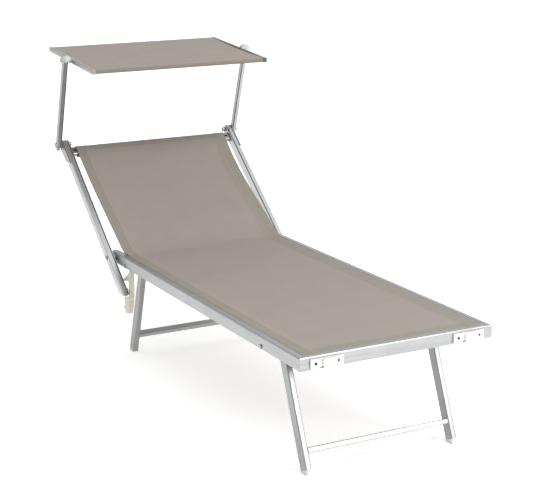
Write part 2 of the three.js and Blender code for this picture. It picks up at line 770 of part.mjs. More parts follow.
// Distance along the tube at which it meets the level of its lower end, for a place across its depth
function lowerEnd(across) {
  return (backEndHeight - backPivotHeight - across * Math.cos(backRadians)) / Math.sin(backRadians);
}

function backTube(side) {
  const half = backTubeDepth / 2;
  const top = armJointPlace + half;
  const far = lowerEnd(half) - cutOverrun;
  const centre = side * (tubeInner + backTubeWidth / 2);
  const section = alongY(onSide(slottedSection(tubeSize), side), far, top);
  const profile = new THREE.Shape();
  profile.moveTo(lowerEnd(-half), -half);
  profile.lineTo(armJointPlace, -half);
  profile.absarc(armJointPlace, 0, half, -Math.PI / 2, Math.PI / 2, false);
  profile.lineTo(lowerEnd(half), half);
  const body = common(section, acrossX(profile, -backTubeWidth, backTubeWidth));
  const hollow = alongY(onSide(sectionVoid(tubeSize), side), far - cutOverrun, armJointPlace - backSolidTop);
  const tube = cut(body, hollow, boreX(boltRadius, backTubeWidth), boreX(boltRadius, backTubeWidth, armJointPlace));
  tube.translate(centre, 0, 0);
  return tube;
}

// The plug closes the hollow of the tube at its lower end.
function backPlug(side) {
  const half = backTubeDepth / 2;
  const size = { ...tubeSize, wall: backTubeWall + seamGap };
  const block = alongY(onSide(sectionVoid(size), side), lowerEnd(half) - cutOverrun, lowerEnd(-half) + backPlugDepth);
  const profile = outline([[lowerEnd(-half) + backPlugDepth, -half], [lowerEnd(-half), -half],
    [lowerEnd(half), half], [lowerEnd(half) + backPlugDepth, half]]);
  const plug = common(block, acrossX(profile, -backTubeWidth, backTubeWidth));
  plug.translate(side * (tubeInner + backTubeWidth / 2), 0, 0);
  return plug;
}

function topBar() {
  const half = tubeInner - seamGap;
  const bar = acrossX(hollowRect(topBarHeight, topBarDepth, topBarCorner, topBarWall), -half, half);
  const slots = sides.map(({ side }) => {
    const slot = alongZ(roundedRect(topSlotLength, topSlotHeight, topSlotHeight / 3), -topBarDepth, topBarDepth);
    slot.translate(side * (tubeInner - topSlotInset - topSlotLength / 2), 0, 0);
    return slot;
  });
  return cut(bar, ...slots);
}

// The back fabric rises from the fold behind the seat and is hemmed round the top bar.
function backFabric() {
  const back = topBarDepth / 2 + seamGap;
  const front = back + fabricThickness;
  const inside = topBarPlace + topBarHeight / 2 + seamGap;
  const top = inside + fabricThickness;
  const round = fabricThickness * 2;
  const shape = new THREE.Shape();
  shape.moveTo(backFabricStart, back);
  shape.lineTo(backFabricStart, front);
  shape.lineTo(top - round, front);
  shape.quadraticCurveTo(top, front, top, front - round);
  shape.lineTo(top, -front + round);
  shape.quadraticCurveTo(top, -front, top - round, -front);
  shape.lineTo(top - backFabricHem, -front);
  shape.lineTo(top - backFabricHem, -back);
  shape.lineTo(inside, -back);
  shape.lineTo(inside, back);
  return acrossX(shape, -backFabricHalfWidth, backFabricHalfWidth);
}

function jointPlateShape() {
  const half = backTubeDepth / 2;
  const shape = new THREE.Shape();
  shape.moveTo(armJointPlace - jointPlateRear, -half);
  shape.lineTo(armJointPlace, -half);
  shape.absarc(armJointPlace, 0, half, -Math.PI / 2, Math.PI / 2, false);
  shape.lineTo(armJointPlace - jointPlateFront, half);
  return shape;
}

const top = named('top_bar', topBar(), aluminium);
top.position.y = topBarPlace;
backrest.add(top, named('back_fabric', backFabric(), taupeFabric));

for (const { side, label } of sides) {
  backrest.add(named(`backrest_tube_${label}`, backTube(side), aluminium));
  backrest.add(named(`tube_end_plug_${label}`, backPlug(side), greyNylon));

  const near = tubeOuter + seamGap;
  const plate = side > 0 ? [near, plateOuter] : [-plateOuter, -near];
  const stiffener = cut(acrossX(jointPlateShape(), ...plate), boreX(boltRadius, armOuter, armJointPlace));
  backrest.add(named(`joint_plate_${label}`, stiffener, steel));

  const pegLength = backTubeGap - seamGap * 2;
  const pegProfile = [[0, 0], [pegRadius - pegEdge, 0], [pegRadius, pegEdge], [pegRadius, pegLength], [0, pegLength]];
  const peg = named(`rack_peg_${label}`, turned(pegProfile, side), steel);
  peg.position.set(side * (railOuter + seamGap), -pegPlace, 0);
  backrest.add(peg);

  const grip = armOuter - tubeInner + seamGap * 2;
  const profile = boltProfile(grip, armBoltHeadRadius, armBoltHeadHeight, armNutRadius, armNutHeight);
  const bolt = named(`arm_bolt_${label}`, turned(profile, side), steel);
  bolt.position.set(side * (tubeInner - seamGap), armJointPlace, 0);
  backrest.add(bolt);
}

// Canopy arms, drawn with y up along the arm and z out of its front
const arms = new THREE.Group();
arms.position.y = armJointPlace;
arms.rotation.x = THREE.MathUtils.degToRad(armAngle - backAngle);
backrest.add(arms);

function arm(side) {
  const half = armDepth / 2;
  const end = armLength + armTopRadius;
  const section = alongY(onSide(slottedSection(armSize), side), -armTail - cutOverrun, end);
  const profile = new THREE.Shape();
  profile.moveTo(-armTailRear, -half);
  profile.lineTo(armLength, -half);
  profile.quadraticCurveTo(end, -half, end, 0);
  profile.quadraticCurveTo(end, half, armLength, half);
  profile.lineTo(-armTail, half);
  const body = common(section, acrossX(profile, -armWidth, armWidth));
  const hollow = alongY(onSide(sectionVoid(armSize), side), armSolidEnd, armLength - armSolidEnd);
  const drain = roundX(armWall, -armWidth, armWidth, armLength / 2);
  const bar = cut(body, hollow, drain, boreX(boltRadius, armWidth), boreX(boltRadius, armWidth, armLength));
  bar.translate(side * (armInner + armWidth / 2), 0, 0);
  return bar;
}

for (const { side, label } of sides) {
  arms.add(named(`canopy_arm_${label}`, arm(side), aluminium));
}

// Canopy, turning about the arm joints; its panel is drawn with y towards the head and z up from
// its top face, which stands above the joints.
const canopy = new THREE.Group();
canopy.position.y = armLength;
canopy.rotation.x = THREE.MathUtils.degToRad(canopyTilt - armAngle);
arms.add(canopy);
const panel = new THREE.Group();
panel.position.z = canopyRise;
canopy.add(panel);

const canopyFront = -canopyFrontReach;
const canopyRear = canopyDepth - canopyFrontReach;
const barTop = -fabricThickness - seamGap * 2;
const barMid = barTop - canopyBarHeight / 2;

function canopyRail(side) {
  const from = canopyFront + canopyPlugHead;
  const bar = alongY(onSide(slottedSection(canopyRailSize), side), from, canopyRear);
  const hollow = alongY(onSide(sectionVoid(canopyRailSize), side), from - cutOverrun, canopyRear + cutOverrun);
  const rail = cut(bar, hollow);
  rail.translate(side * (canopyOuter - canopyRailWidth / 2), 0, -canopyRailHeight / 2);
  return rail;
}

function canopyBar() {
  const half = canopyInner - seamGap;
  return acrossX(hollowRect(canopyBarDepth, canopyBarHeight, canopyBarCorner, canopyBarWall), -half, half);
}

// The canopy fabric is beaded into the slots of both rails, stretched over both bars and hemmed
// under them.
function canopyFabric() {
  const skin = fabricThickness;
  const bottom = barTop - canopyBarHeight - seamGap;
  const face = -seamGap;
  const round = skin * 2;
  const shape = new THREE.Shape();
  shape.moveTo(canopyFront + canopyHem, bottom - skin);
  shape.lineTo(canopyFront + canopyHem, bottom);
  shape.lineTo(canopyFront + skin, bottom);
  shape.lineTo(canopyFront + skin, face - skin);
  shape.lineTo(canopyRear - skin, face - skin);
  shape.lineTo(canopyRear - skin, bottom);
  shape.lineTo(canopyRear - canopyHem, bottom);
  shape.lineTo(canopyRear - canopyHem, bottom - skin);
  shape.lineTo(canopyRear - round, bottom - skin);
  shape.quadraticCurveTo(canopyRear, bottom - skin, canopyRear, bottom - skin + round);
  shape.lineTo(canopyRear, face - round);
  shape.quadraticCurveTo(canopyRear, face, canopyRear - round, face);
  shape.lineTo(canopyFront + round, face);
  shape.quadraticCurveTo(canopyFront, face, canopyFront, face - round);
  shape.lineTo(canopyFront, bottom - skin + round);
  shape.quadraticCurveTo(canopyFront, bottom - skin, canopyFront + round, bottom - skin);
  const slot = canopyInner + canopySlotInset + canopySlotWidth / 2;
  const bead = canopyChannelRadius - seamGap * 2;
  const edge = beadedSheet(slot, face - skin, -canopyChannelDepth, bead);
  return join(acrossX(shape, seamGap - canopyInner, canopyInner - seamGap),
    alongY(edge, canopyFront + canopyPlugHead, canopyRear - round));
}

function canopyPlug() {
  const head = alongY(roundedRect(canopyRailWidth, canopyRailHeight, canopyRailCorner), 0, canopyPlugHead - seamGap);
  const size = { ...canopyRailSize, wall: canopyRailWall + seamGap };
  return join(head, alongY(onSide(sectionVoid(size), 1), canopyPlugHead / 2, canopyPlugDepth));
}

// The hub is a rounded knob, screwed to the outer face of the canopy rail by its base, that caps the
// top of the arm.
// Its slot leaves the arm room to turn as far as the canopy tilts.
function hub(side) {
  const width = hubOuter - canopyOuter - seamGap;
  const bulge = Math.acos(hubEndRadius / hubRadius);
  const rounding = Array.from({ length: hubSteps + 1 }, (_, index) => {
    const angle = bulge * ((index / hubSteps) * 2 - 1);
    return [hubRadius * Math.cos(angle), (width / 2) * (1 + Math.sin(angle) / Math.sin(bulge))];
  });
  const profile = [[0, 0], ...rounding, [0, width]];
  const span = (near, far) => (side > 0 ? [near, far] : [-far, -near]);
  const baseHeight = canopyRailHeight - hubBaseMargin * 2;
  const base = acrossX(roundedRect(hubBaseLength, baseHeight, hubBaseRadius), ...span(0, hubBaseThickness));
  base.translate(0, 0, canopyRise - canopyRailHeight / 2);
  const under = outline([[-hubRadius * 2, -hubDrop], [-hubRadius * 2, -hubRadius * 2],
    [hubRadius * 2, -hubRadius * 2], [hubRadius * 2, -hubDrop]]);
  const rest = -Math.PI + THREE.MathUtils.degToRad(armAngle - canopyTilt);
  const reach = THREE.MathUtils.degToRad(canopyTiltReach);
  const half = armDepth / 2 + seamGap * 2;
  const far = hubRadius * 3;
  const ray = (angle, offset, distance) => [
    Math.cos(angle) * distance - Math.sin(angle) * offset, Math.sin(angle) * distance + Math.cos(angle) * offset];
  const sweep = outline([ray(rest + reach, half, 0), ray(rest - reach, -half, 0), ray(rest - reach, -half, far),
    ray(rest, 0, far * 2), ray(rest + reach, half, far)]);
  const slot = span(armInner - canopyOuter - seamGap * 2, armOuter - canopyOuter);
  const bore = span(hubReach - hubBoltBite, width + cutOverrun);
  const dome = cut(turned(profile, side), acrossX(under, ...span(-cutOverrun, width + cutOverrun)));
  return cut(join(dome, base), acrossX(sweep, ...slot), roundX(armTopRadius + seamGap * 2, ...slot),
    roundX(boltRadius + boreClearance, ...bore));
}

for (const [name, place] of [['front', canopyFront], ['rear', canopyRear]]) {
  const bar = named(`canopy_${name}_bar`, canopyBar(), aluminium);
  const inward = place < 0 ? 1 : -1;
  bar.position.set(0, place + inward * (fabricThickness + seamGap + canopyBarDepth / 2), barMid);
  panel.add(bar);
}
panel.add(named('canopy_fabric', canopyFabric(), taupeFabric));

for (const { side, label } of sides) {
  panel.add(named(`canopy_rail_${label}`, canopyRail(side), aluminium));

  const plug = named(`canopy_end_plug_${label}`, canopyPlug(), side > 0 ? greenNylon : stoneNylon);
  plug.position.set(side * (canopyOuter - canopyRailWidth / 2), canopyFront, -canopyRailHeight / 2);
  plug.scale.x = side;
  panel.add(plug);

  const clamp = named(`canopy_hub_${label}`, hub(side), whiteNylon);
  clamp.position.x = side * (canopyOuter + seamGap);
  canopy.add(clamp);

  const length = hubOuter + seamGap - armInner + seamGap + hubBoltBite;
  const profile = boltProfile(length, hubBoltHeadRadius, hubBoltHeadHeight);
  const bolt = named(`hub_bolt_${label}`, turned(profile, side), steel);
  bolt.position.x = side * (hubOuter + seamGap - length);
  canopy.add(bolt);
}

// Centre the lounger on its footprint, standing on the ground.
lounger.updateMatrixWorld(true);
const box = new THREE.Box3().setFromObject(lounger, true);
lounger.position.y = -(box.min.y + box.max.y) / 2;

export default lounger;
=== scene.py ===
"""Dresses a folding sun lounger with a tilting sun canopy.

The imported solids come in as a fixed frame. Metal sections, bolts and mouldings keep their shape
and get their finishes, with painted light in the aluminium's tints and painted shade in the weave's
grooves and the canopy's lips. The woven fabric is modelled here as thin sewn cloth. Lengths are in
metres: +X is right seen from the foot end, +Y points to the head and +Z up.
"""
import json
import logging
import math
from collections.abc import Sequence
from dataclasses import dataclass
from enum import Enum
from functools import cache
from typing import Any

import bpy
from bpy.types import Material, Mesh, Node, NodeSocket, Object, World
from mathutils import Matrix, Vector


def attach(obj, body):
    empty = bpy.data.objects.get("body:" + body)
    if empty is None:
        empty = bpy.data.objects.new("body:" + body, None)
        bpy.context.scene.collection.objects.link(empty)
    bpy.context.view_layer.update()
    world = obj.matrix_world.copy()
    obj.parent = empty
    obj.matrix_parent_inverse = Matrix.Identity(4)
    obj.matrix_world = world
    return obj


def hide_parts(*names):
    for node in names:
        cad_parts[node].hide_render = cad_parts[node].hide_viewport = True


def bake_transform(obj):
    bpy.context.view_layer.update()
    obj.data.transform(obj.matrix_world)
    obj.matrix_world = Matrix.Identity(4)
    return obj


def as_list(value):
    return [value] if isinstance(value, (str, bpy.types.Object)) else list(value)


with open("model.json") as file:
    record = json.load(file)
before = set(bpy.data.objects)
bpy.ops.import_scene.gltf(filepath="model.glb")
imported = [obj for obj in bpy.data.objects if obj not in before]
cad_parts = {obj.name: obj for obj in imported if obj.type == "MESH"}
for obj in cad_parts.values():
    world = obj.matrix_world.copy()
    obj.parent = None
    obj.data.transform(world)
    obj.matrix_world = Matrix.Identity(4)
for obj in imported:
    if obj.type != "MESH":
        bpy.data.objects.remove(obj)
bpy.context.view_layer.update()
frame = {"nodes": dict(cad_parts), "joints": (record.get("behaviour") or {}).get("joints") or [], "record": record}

LOG = logging.getLogger("lounger")


def joint_place(name: str) -> Vector:
    """Finds where a joint of the frame turns.

    Args:
        name: The joint's name.

    Returns:
        A point on its axis.
    """
    return Vector(next(joint["pos_m"] for joint in frame["joints"] if joint["name"] == name))


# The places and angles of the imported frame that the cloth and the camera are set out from.
BACK_PIVOT = joint_place("backrest_hinge")
CANOPY_PIVOT = joint_place("canopy_tilt")
FOOT_FACE = BACK_PIVOT.y - 1.354
BACK_ANGLE = math.radians(39.2)
ARM_ANGLE = math.radians(109.5)
CANOPY_ANGLE = math.radians(5.1)
FRONT_LEG_ANGLE = math.radians(-21.9)
REAR_LEG_ANGLE = math.radians(18.8)


def linear(colour: str) -> tuple[float, float, float, float]:
    """Turns an sRGB hex colour to linear light.

    Args:
        colour: The colour as "#rrggbb".

    Returns:
        The linear red, green and blue, and full opacity.
    """
    channels = (int(colour[place:place + 2], 16) / 255 for place in (1, 3, 5))
    red, green, blue = (
        c / 12.92 if c <= 0.04045 else ((c + 0.055) / 1.055) ** 2.4 for c in channels)
    return red, green, blue, 1.0


class Nodes:
    """The node tree of a new material or world, while it is drawn up."""

    def __init__(self, owner: Material | World) -> None:
        """Starts with an empty tree.

        Args:
            owner: The material or world.
        """
        owner.use_nodes = True
        self.tree = owner.node_tree
        self.tree.nodes.clear()

    def add(self, kind: str, inputs: dict[str | int, Any] | None = None, **settings: Any) -> Node:
        """Adds one shader node with its settings, values and links.

        Args:
            kind: The node's type name, without "ShaderNode".
            inputs: A value, or an output socket to link, for each named or numbered input.
            settings: The node's own settings, such as its blend type.

        Returns:
            The new node.
        """
        node = self.tree.nodes.new(f"ShaderNode{kind}")
        for name, value in settings.items():
            setattr(node, name, value)
        for name, value in (inputs or {}).items():
            if isinstance(value, NodeSocket):
                self.tree.links.new(value, node.inputs[name])
            else:
                node.inputs[name].default_value = value
        return node

    def ramp(
        self, value: NodeSocket, places: tuple[float, float], colours: tuple[str, str],
    ) -> NodeSocket:
        """Adds a ramp from one colour to another.

        Args:
            value: What it reads.
            places: Where its two stops stand.
            colours: Their sRGB hex colours.

        Returns:
            Its colour.
        """
        node = self.add("ValToRGB", {"Fac": value})
        for element, place, colour in zip(node.color_ramp.elements, places, colours):
            element.position = place
            element.color = linear(colour)
        return node.outputs["Color"]

    def noise(self, place: NodeSocket, size: float, detail: float) -> NodeSocket:
        """Adds a noise whose patches have a real size.

        Args:
            place: The coordinates that it is laid on, in metres.
            size: How wide a patch is, in metres.
            detail: How many finer layers it has.

        Returns:
            Its value, between 0 and 1.
        """
        inputs = {"Vector": place, "Scale": 1 / size, "Detail": detail}
        return self.add("TexNoise", inputs).outputs["Fac"]

    def remap(
        self, value: NodeSocket, source: tuple[float, float] = (0.0, 1.0),
        target: tuple[float, float] = (0.0, 1.0), **settings: Any,
    ) -> NodeSocket:
        """Carries one range of values over to another.

        Args:
            value: What is read.
            source: The range that it comes from.
            target: The range that it goes to.
            settings: The node's own settings.

        Returns:
            The new value.
        """
        return self.add("MapRange", {
            "Value": value, "From Min": source[0], "From Max": source[1],
            "To Min": target[0], "To Max": target[1]}, **settings).outputs["Result"]

    def mix(self, share: Any, first: Any, second: Any, **settings: Any) -> NodeSocket:
        """Mixes two colours, or two values.

        Args:
            share: How much of the second goes in.
            first: The first colour, value or socket.
            second: The second one.
            settings: The node's own settings, where it isn't a plain mix of colours.

        Returns:
            The mixture.
        """
        inputs = {0: share, "A": first, "B": second}
        return self.add("Mix", inputs, **({"data_type": "RGBA"} | settings)).outputs["Result"]

    def compute(self, operation: str, *values: Any) -> NodeSocket:
        """Adds one step of arithmetic. Args: its type, and the values or sockets that it takes."""
        return self.add("Math", dict(enumerate(values)), operation=operation).outputs["Value"]

    def bump(self, height: NodeSocket, strength: float, distance: float) -> NodeSocket:
        """Adds a relief. Args: its height's socket, its strength, and how high it stands."""
        inputs = {"Height": height, "Strength": strength, "Distance": distance}
        return self.add("Bump", inputs).outputs["Normal"]

    def surface(self, inputs: dict[str | int, Any]) -> None:
        """Ends a material with its shader and output. Args: the shader's inputs."""
        shader = self.add("BsdfPrincipled", inputs)
        self.add("OutputMaterial", {"Surface": shader.outputs["BSDF"]})


def on_plane(pivot: Vector, angle: float, along: float, off: float) -> tuple[float, float]:
    """Places a point by its distances along a tilted plane and off it.

    Args:
        pivot: The joint that the plane passes through.
        angle: How far the plane is tilted.
        along: The distance up the plane from the joint.
        off: The distance off the plane, to its front.

    Returns:
        The point's Y and Z.
    """
    cos, sin = math.cos(angle), math.sin(angle)
    return pivot.y + along * cos - off * sin, pivot.z + along * sin + off * cos


def select_only(*pieces: Object) -> None:
    """Selects these pieces alone and makes the first one active.

    Args:
        pieces: The objects to select.
    """
    if bpy.context.object is not None and bpy.context.object.mode != "OBJECT":
        bpy.ops.object.mode_set(mode="OBJECT")
    bpy.ops.object.select_all(action="DESELECT")
    for piece in pieces:
        piece.select_set(True)
    bpy.context.view_layer.objects.active = pieces[0] if pieces else None


def apply_modifier(piece: Object, kind: str, **settings: Any) -> None:
    """Adds a modifier to a piece and applies it.

    Args:
        piece: The object to change.
        kind: The modifier's type.
        settings: The modifier's settings.
    """
    select_only(piece)
    modifier = piece.modifiers.new(kind.title(), kind)
    for name, value in settings.items():
        setattr(modifier, name, value)
    bpy.ops.object.modifier_apply(modifier=modifier.name)


def body_of_node(node: str) -> str:
    """Names the body that carries a CAD node.

    Args:
        node: The CAD node's name.

    Returns:
        The body's name.
    """
    bodies = frame["record"]["behaviour"]["bodies"]
    return next(body for body, members in bodies.items() if node in members)


@dataclass(frozen=True)
class AnodisedAluminium:
    """Extruded aluminium, satin anodised: soft pale reflections drawn out along the section."""

    name: str
    turn: float = 0.0
    across: bool = False
    tint: str = "#a8a9a9"
    shade: str = "#959696"
    roughness: float = 0.36
    dulled: float = 0.06
    polished: float = 0.04
    die_line: float = 0.0022
    die_line_length: float = 0.35
    cloud: float = 0.09
    cloud_share: float = 0.35
    tones: tuple[float, float] = (0.3, 0.7)
    relief: float = 0.06
    relief_height: float = 0.0004

    def material(self) -> Material:
        """Makes the material, with die lines along the section and faint clouds in its oxide.

        Returns:
            The new material.
        """
        material = bpy.data.materials.new(f"anodised_aluminium_{self.name}")
        nodes = Nodes(material)
        place = nodes.add("TexCoord").outputs["Object"]
        level = nodes.add("Mapping", {"Vector": place, "Rotation": (-self.turn, 0.0, 0.0)})
        fine, coarse = 1 / self.die_line, 1 / self.die_line_length
        drawn = nodes.add("Mapping", {
            "Vector": level.outputs["Vector"],
            "Scale": (coarse, fine, fine) if self.across else (fine, coarse, fine)})
        lines = nodes.noise(drawn.outputs["Vector"], 1.0, 3.0)
        clouds = nodes.noise(place, self.cloud, 4.0)
        tone = nodes.mix(self.cloud_share, lines, clouds, data_type="FLOAT")
        colour = nodes.ramp(tone, self.tones, (self.shade, self.tint))
        gloss = nodes.remap(
            tone, self.tones, (self.roughness + self.dulled, self.roughness - self.polished))
        nodes.surface({
            "Base Color": colour, "Metallic": 1.0, "Roughness": gloss,
            "Normal": nodes.bump(lines, self.relief, self.relief_height)})
        return material


@dataclass(frozen=True)
class PlatedSteel:
    """Cold-headed steel, zinc plated or blackened: tight highlights with a faint mottle."""

    name: str
    tint: str = "#a9acad"
    shade: str = "#8d9092"
    roughness: float = 0.3
    mottle: float = 0.004
    tones: tuple[float, float] = (0.35, 0.65)
    polished: float = 0.05
    dulled: float = 0.1

    def material(self) -> Material:
        """Makes the material, mottled as plating is.

        Returns:
            The new material.
        """
        material = bpy.data.materials.new(f"{self.name}_steel")
        nodes = Nodes(material)
        grain = nodes.noise(nodes.add("TexCoord").outputs["Object"], self.mottle, 5.0)
        colour = nodes.ramp(grain, self.tones, (self.shade, self.tint))
        gloss = nodes.remap(
            grain, target=(self.roughness - self.polished, self.roughness + self.dulled))
        nodes.surface({"Base Color": colour, "Metallic": 1.0, "Roughness": gloss})
        return material


@dataclass(frozen=True)
class MouldedNylon:
    """Injection-moulded nylon: a soft satin skin with a fine spark-eroded grain."""

    name: str
    tint: str
    shade: str
    roughness: float = 0.46
    spread: float = 0.06
    grain: float = 0.0009
    cloud: float = 0.02
    tones: tuple[float, float] = (0.35, 0.6)
    depth: float = 0.05
    depth_reach: float = 0.002
    relief: float = 0.12
    relief_height: float = 0.0002

    def material(self) -> Material:
        """Makes the material, with its moulded grain and slight clouds of colour.

        Returns:
            The new material.
        """
        material = bpy.data.materials.new(f"moulded_nylon_{self.name}")
        nodes = Nodes(material)
        place = nodes.add("TexCoord").outputs["Object"]
        clouds = nodes.noise(place, self.cloud, 3.0)
        grain = nodes.noise(place, self.grain, 2.0)
        colour = nodes.ramp(clouds, self.tones, (self.shade, self.tint))
        gloss = nodes.remap(
            clouds, target=(self.roughness - self.spread, self.roughness + self.spread))
        nodes.surface({
            "Base Color": colour, "Roughness": gloss, "IOR": 1.53,
            "Subsurface Weight": self.depth, "Subsurface Scale": self.depth_reach,
            "Normal": nodes.bump(grain, self.relief, self.relief_height)})
        return material


# A wave texture of scale 1 repeats after this length.
WAVE_LENGTH = math.pi / 10


@dataclass(frozen=True)
class CoatedWeave:
    """Polyester yarn coated with vinyl and woven open: matte, with a fine basket texture.

    The real threads stand 1 mm apart. They are drawn wider, so that they show, and the grooves
    between them are darkened with painted shade. The hems lie double, so that less light comes
    through them and they look darker, and a row of pale thread sews each one down. Its stitches are
    drawn 2 mm wide and 6 mm long, which is twice the real size. On the canopy the darker hem band
    is painted shade on the turned-down lips.
    """

    name: str
    warp: str
    weft: str
    pore: str
    hem_tint: str = "#f1f4ef"
    sewing: str = "#9c958d"
    roughness: float = 0.72
    thread: float = 0.0024
    gap_height: float = 0.35
    gap_share: float = 0.6
    mottle: float = 0.07
    mottle_range: tuple[float, float] = (0.93, 1.07)
    hem: float = 0.042
    hem_blur: float = 0.0006
    seam_inset: float = 0.004
    stitch_width: float = 0.002
    stitch_pitch: float = 0.0095
    stitch_share: float = 0.64
    stitch_rise: float = 1.5
    relief: float = 0.35
    relief_height: float = 0.0004

    def weave(self, nodes: Nodes, flat: NodeSocket) -> tuple[NodeSocket, NodeSocket]:
        """Draws the threads, which pass over and under each other like the squares of a board, with
        painted shade in the grooves between them.

        Args:
            nodes: The material's nodes.
            flat: The cloth's flat measure.

        Returns:
            The threads' colour, with painted shade between them, and their height.
        """
        over = nodes.add("TexChecker", {"Vector": flat, "Scale": 1 / self.thread}).outputs["Fac"]
        wave = {"Vector": flat, "Scale": WAVE_LENGTH / self.thread}
        ribs = [
            nodes.add("TexWave", wave, bands_direction=way).outputs["Fac"] for way in ("X", "Y")]
        height = nodes.mix(over, *ribs, data_type="FLOAT")
        yarn = nodes.mix(over, linear(self.warp), linear(self.weft))
        # The pore colour is painted shade in the grooves between the threads, darkest where they dip lowest.
        gap_shade = nodes.remap(height, (0.0, self.gap_height), (self.gap_share, 0.0))
        return nodes.mix(gap_shade, yarn, linear(self.pore)), height

    def stitches(self, nodes: Nodes, flat: NodeSocket, near: NodeSocket) -> NodeSocket:
        """Draws the row of stitches along the hems.

        Args:
            nodes: The material's nodes.
            flat: The cloth's flat measure.
            near: The distance from the nearest edge.

        Returns:
            A value that is 1 on the thread and 0 beside it.
        """
        row = nodes.compute("COMPARE", near, self.hem - self.seam_inset, self.stitch_width / 2)
        measure = nodes.add("SeparateXYZ", {"Vector": flat}).outputs
        run = nodes.compute("ADD", measure["X"], measure["Y"])
        phase = nodes.compute("FRACT", nodes.compute("DIVIDE", run, self.stitch_pitch))
        dash = nodes.compute("LESS_THAN", phase, self.stitch_share)
        return nodes.compute("MULTIPLY", row, dash)

    def material(self) -> Material:
        """Makes the material on the cloth's own flat measure, so that threads follow the sheet.

        Returns:
            The new material.
        """
        material = bpy.data.materials.new(f"coated_weave_{self.name}")
        nodes = Nodes(material)
        flat = nodes.add("UVMap", uv_map="flat").outputs["UV"]
        woven, height = self.weave(nodes, flat)
        clouds = nodes.noise(nodes.add("TexCoord").outputs["Object"], self.mottle, 4.0)
        tone = nodes.remap(clouds, target=self.mottle_range)
        grey = nodes.add("CombineColor", {"Red": tone, "Green": tone, "Blue": tone})
        colour = nodes.mix(1.0, woven, grey.outputs["Color"], blend_type="MULTIPLY")
        edge = nodes.add("UVMap", uv_map="edge").outputs["UV"]
        inset = nodes.add("SeparateXYZ", {"Vector": edge}).outputs
        near = nodes.compute("MINIMUM", inset["X"], inset["Y"])
        # On the sling the hem band is darker where the cloth lies double; on the canopy it is painted shade on the
        # turned-down lips.
        band = nodes.remap(near, (self.hem - self.hem_blur, self.hem + self.hem_blur), (1.0, 0.0))
        double_and_shade = nodes.mix(band, linear("#ffffff"), linear(self.hem_tint))
        hemmed_and_shaded = nodes.mix(1.0, colour, double_and_shade, blend_type="MULTIPLY")
        stitch = self.stitches(nodes, flat, near)
        sewn = nodes.mix(stitch, hemmed_and_shaded, linear(self.sewing))
        rise = nodes.compute("MULTIPLY_ADD", stitch, self.stitch_rise, height)
        nodes.surface({
            "Base Color": sewn, "Roughness": self.roughness, "IOR": 1.5,
            "Specular IOR Level": 0.35,
            "Normal": nodes.bump(rise, self.relief, self.relief_height)})
        return material


class Finish(Enum):
    """The named finishes of the lounger's pieces."""

    # These aluminium finishes are one anodised metal. Their tints differ from piece to piece as painted light: a
    # little lighter on the rails, leg bars and arms, much lighter on the backrest tubes, darker on the front legs
    # and darker still on the rear legs, standing in for how brightly each piece is lit.
    RAIL = AnodisedAluminium("rail", tint="#aeafaf", shade="#9c9d9d")
    CROSSBAR = AnodisedAluminium("crossbar", across=True)
    LEG_BAR = AnodisedAluminium("leg_bar", across=True, tint="#afb0b0", shade="#9d9e9e")
    TUBE = AnodisedAluminium("tube", turn=BACK_ANGLE, tint="#c2c3c3", shade="#afb0b0")
    ARM = AnodisedAluminium("arm", turn=ARM_ANGLE, tint="#aaabab", shade="#989999")
    CANOPY_RAIL = AnodisedAluminium("canopy_rail", turn=CANOPY_ANGLE)
    FRONT_LEG = AnodisedAluminium(
        "front_leg", turn=FRONT_LEG_ANGLE + math.pi / 2, tint="#a4a5a5", shade="#929393")
    REAR_LEG = AnodisedAluminium(
        "rear_leg", turn=REAR_LEG_ANGLE + math.pi / 2, tint="#9fa0a0", shade="#8e8f8f")
    ZINC = PlatedSteel("zinc")
    BLACK = PlatedSteel("black", "#2e2f31", "#1f2022", 0.42)
    WHITE = MouldedNylon("white", "#c9c9c5", "#bcbcb8")
    HUB = MouldedNylon("hub", "#b1b1ad", "#a3a29e")
    IVORY = MouldedNylon("ivory", "#cdc8b9", "#c0b9a8", 0.5)
    GREY = MouldedNylon("grey", "#5b5e60", "#4c4f51", 0.52, depth=0.0)
    GREEN = MouldedNylon("green", "#2f5243", "#274538", 0.48, depth=0.0)
    STONE = MouldedNylon("stone", "#8b8880", "#7f7b73", 0.5, depth=0.0)
    SLING_WEAVE = CoatedWeave("sling", "#8a827c", "#7f7871", "#6c655f")
    # The canopy's darker hem tint paints shade on its turned-down front and rear lips and the laps under the bars.
    CANOPY_WEAVE = CoatedWeave(
        "canopy", "#8f877f", "#847c75", "#706962", "#dadcd9", hem=0.028, stitch_share=0.0)

    @cache
    def material(self) -> Material:
        """Makes the finish's material on first use, and hands it out."""
        return self.value.material()


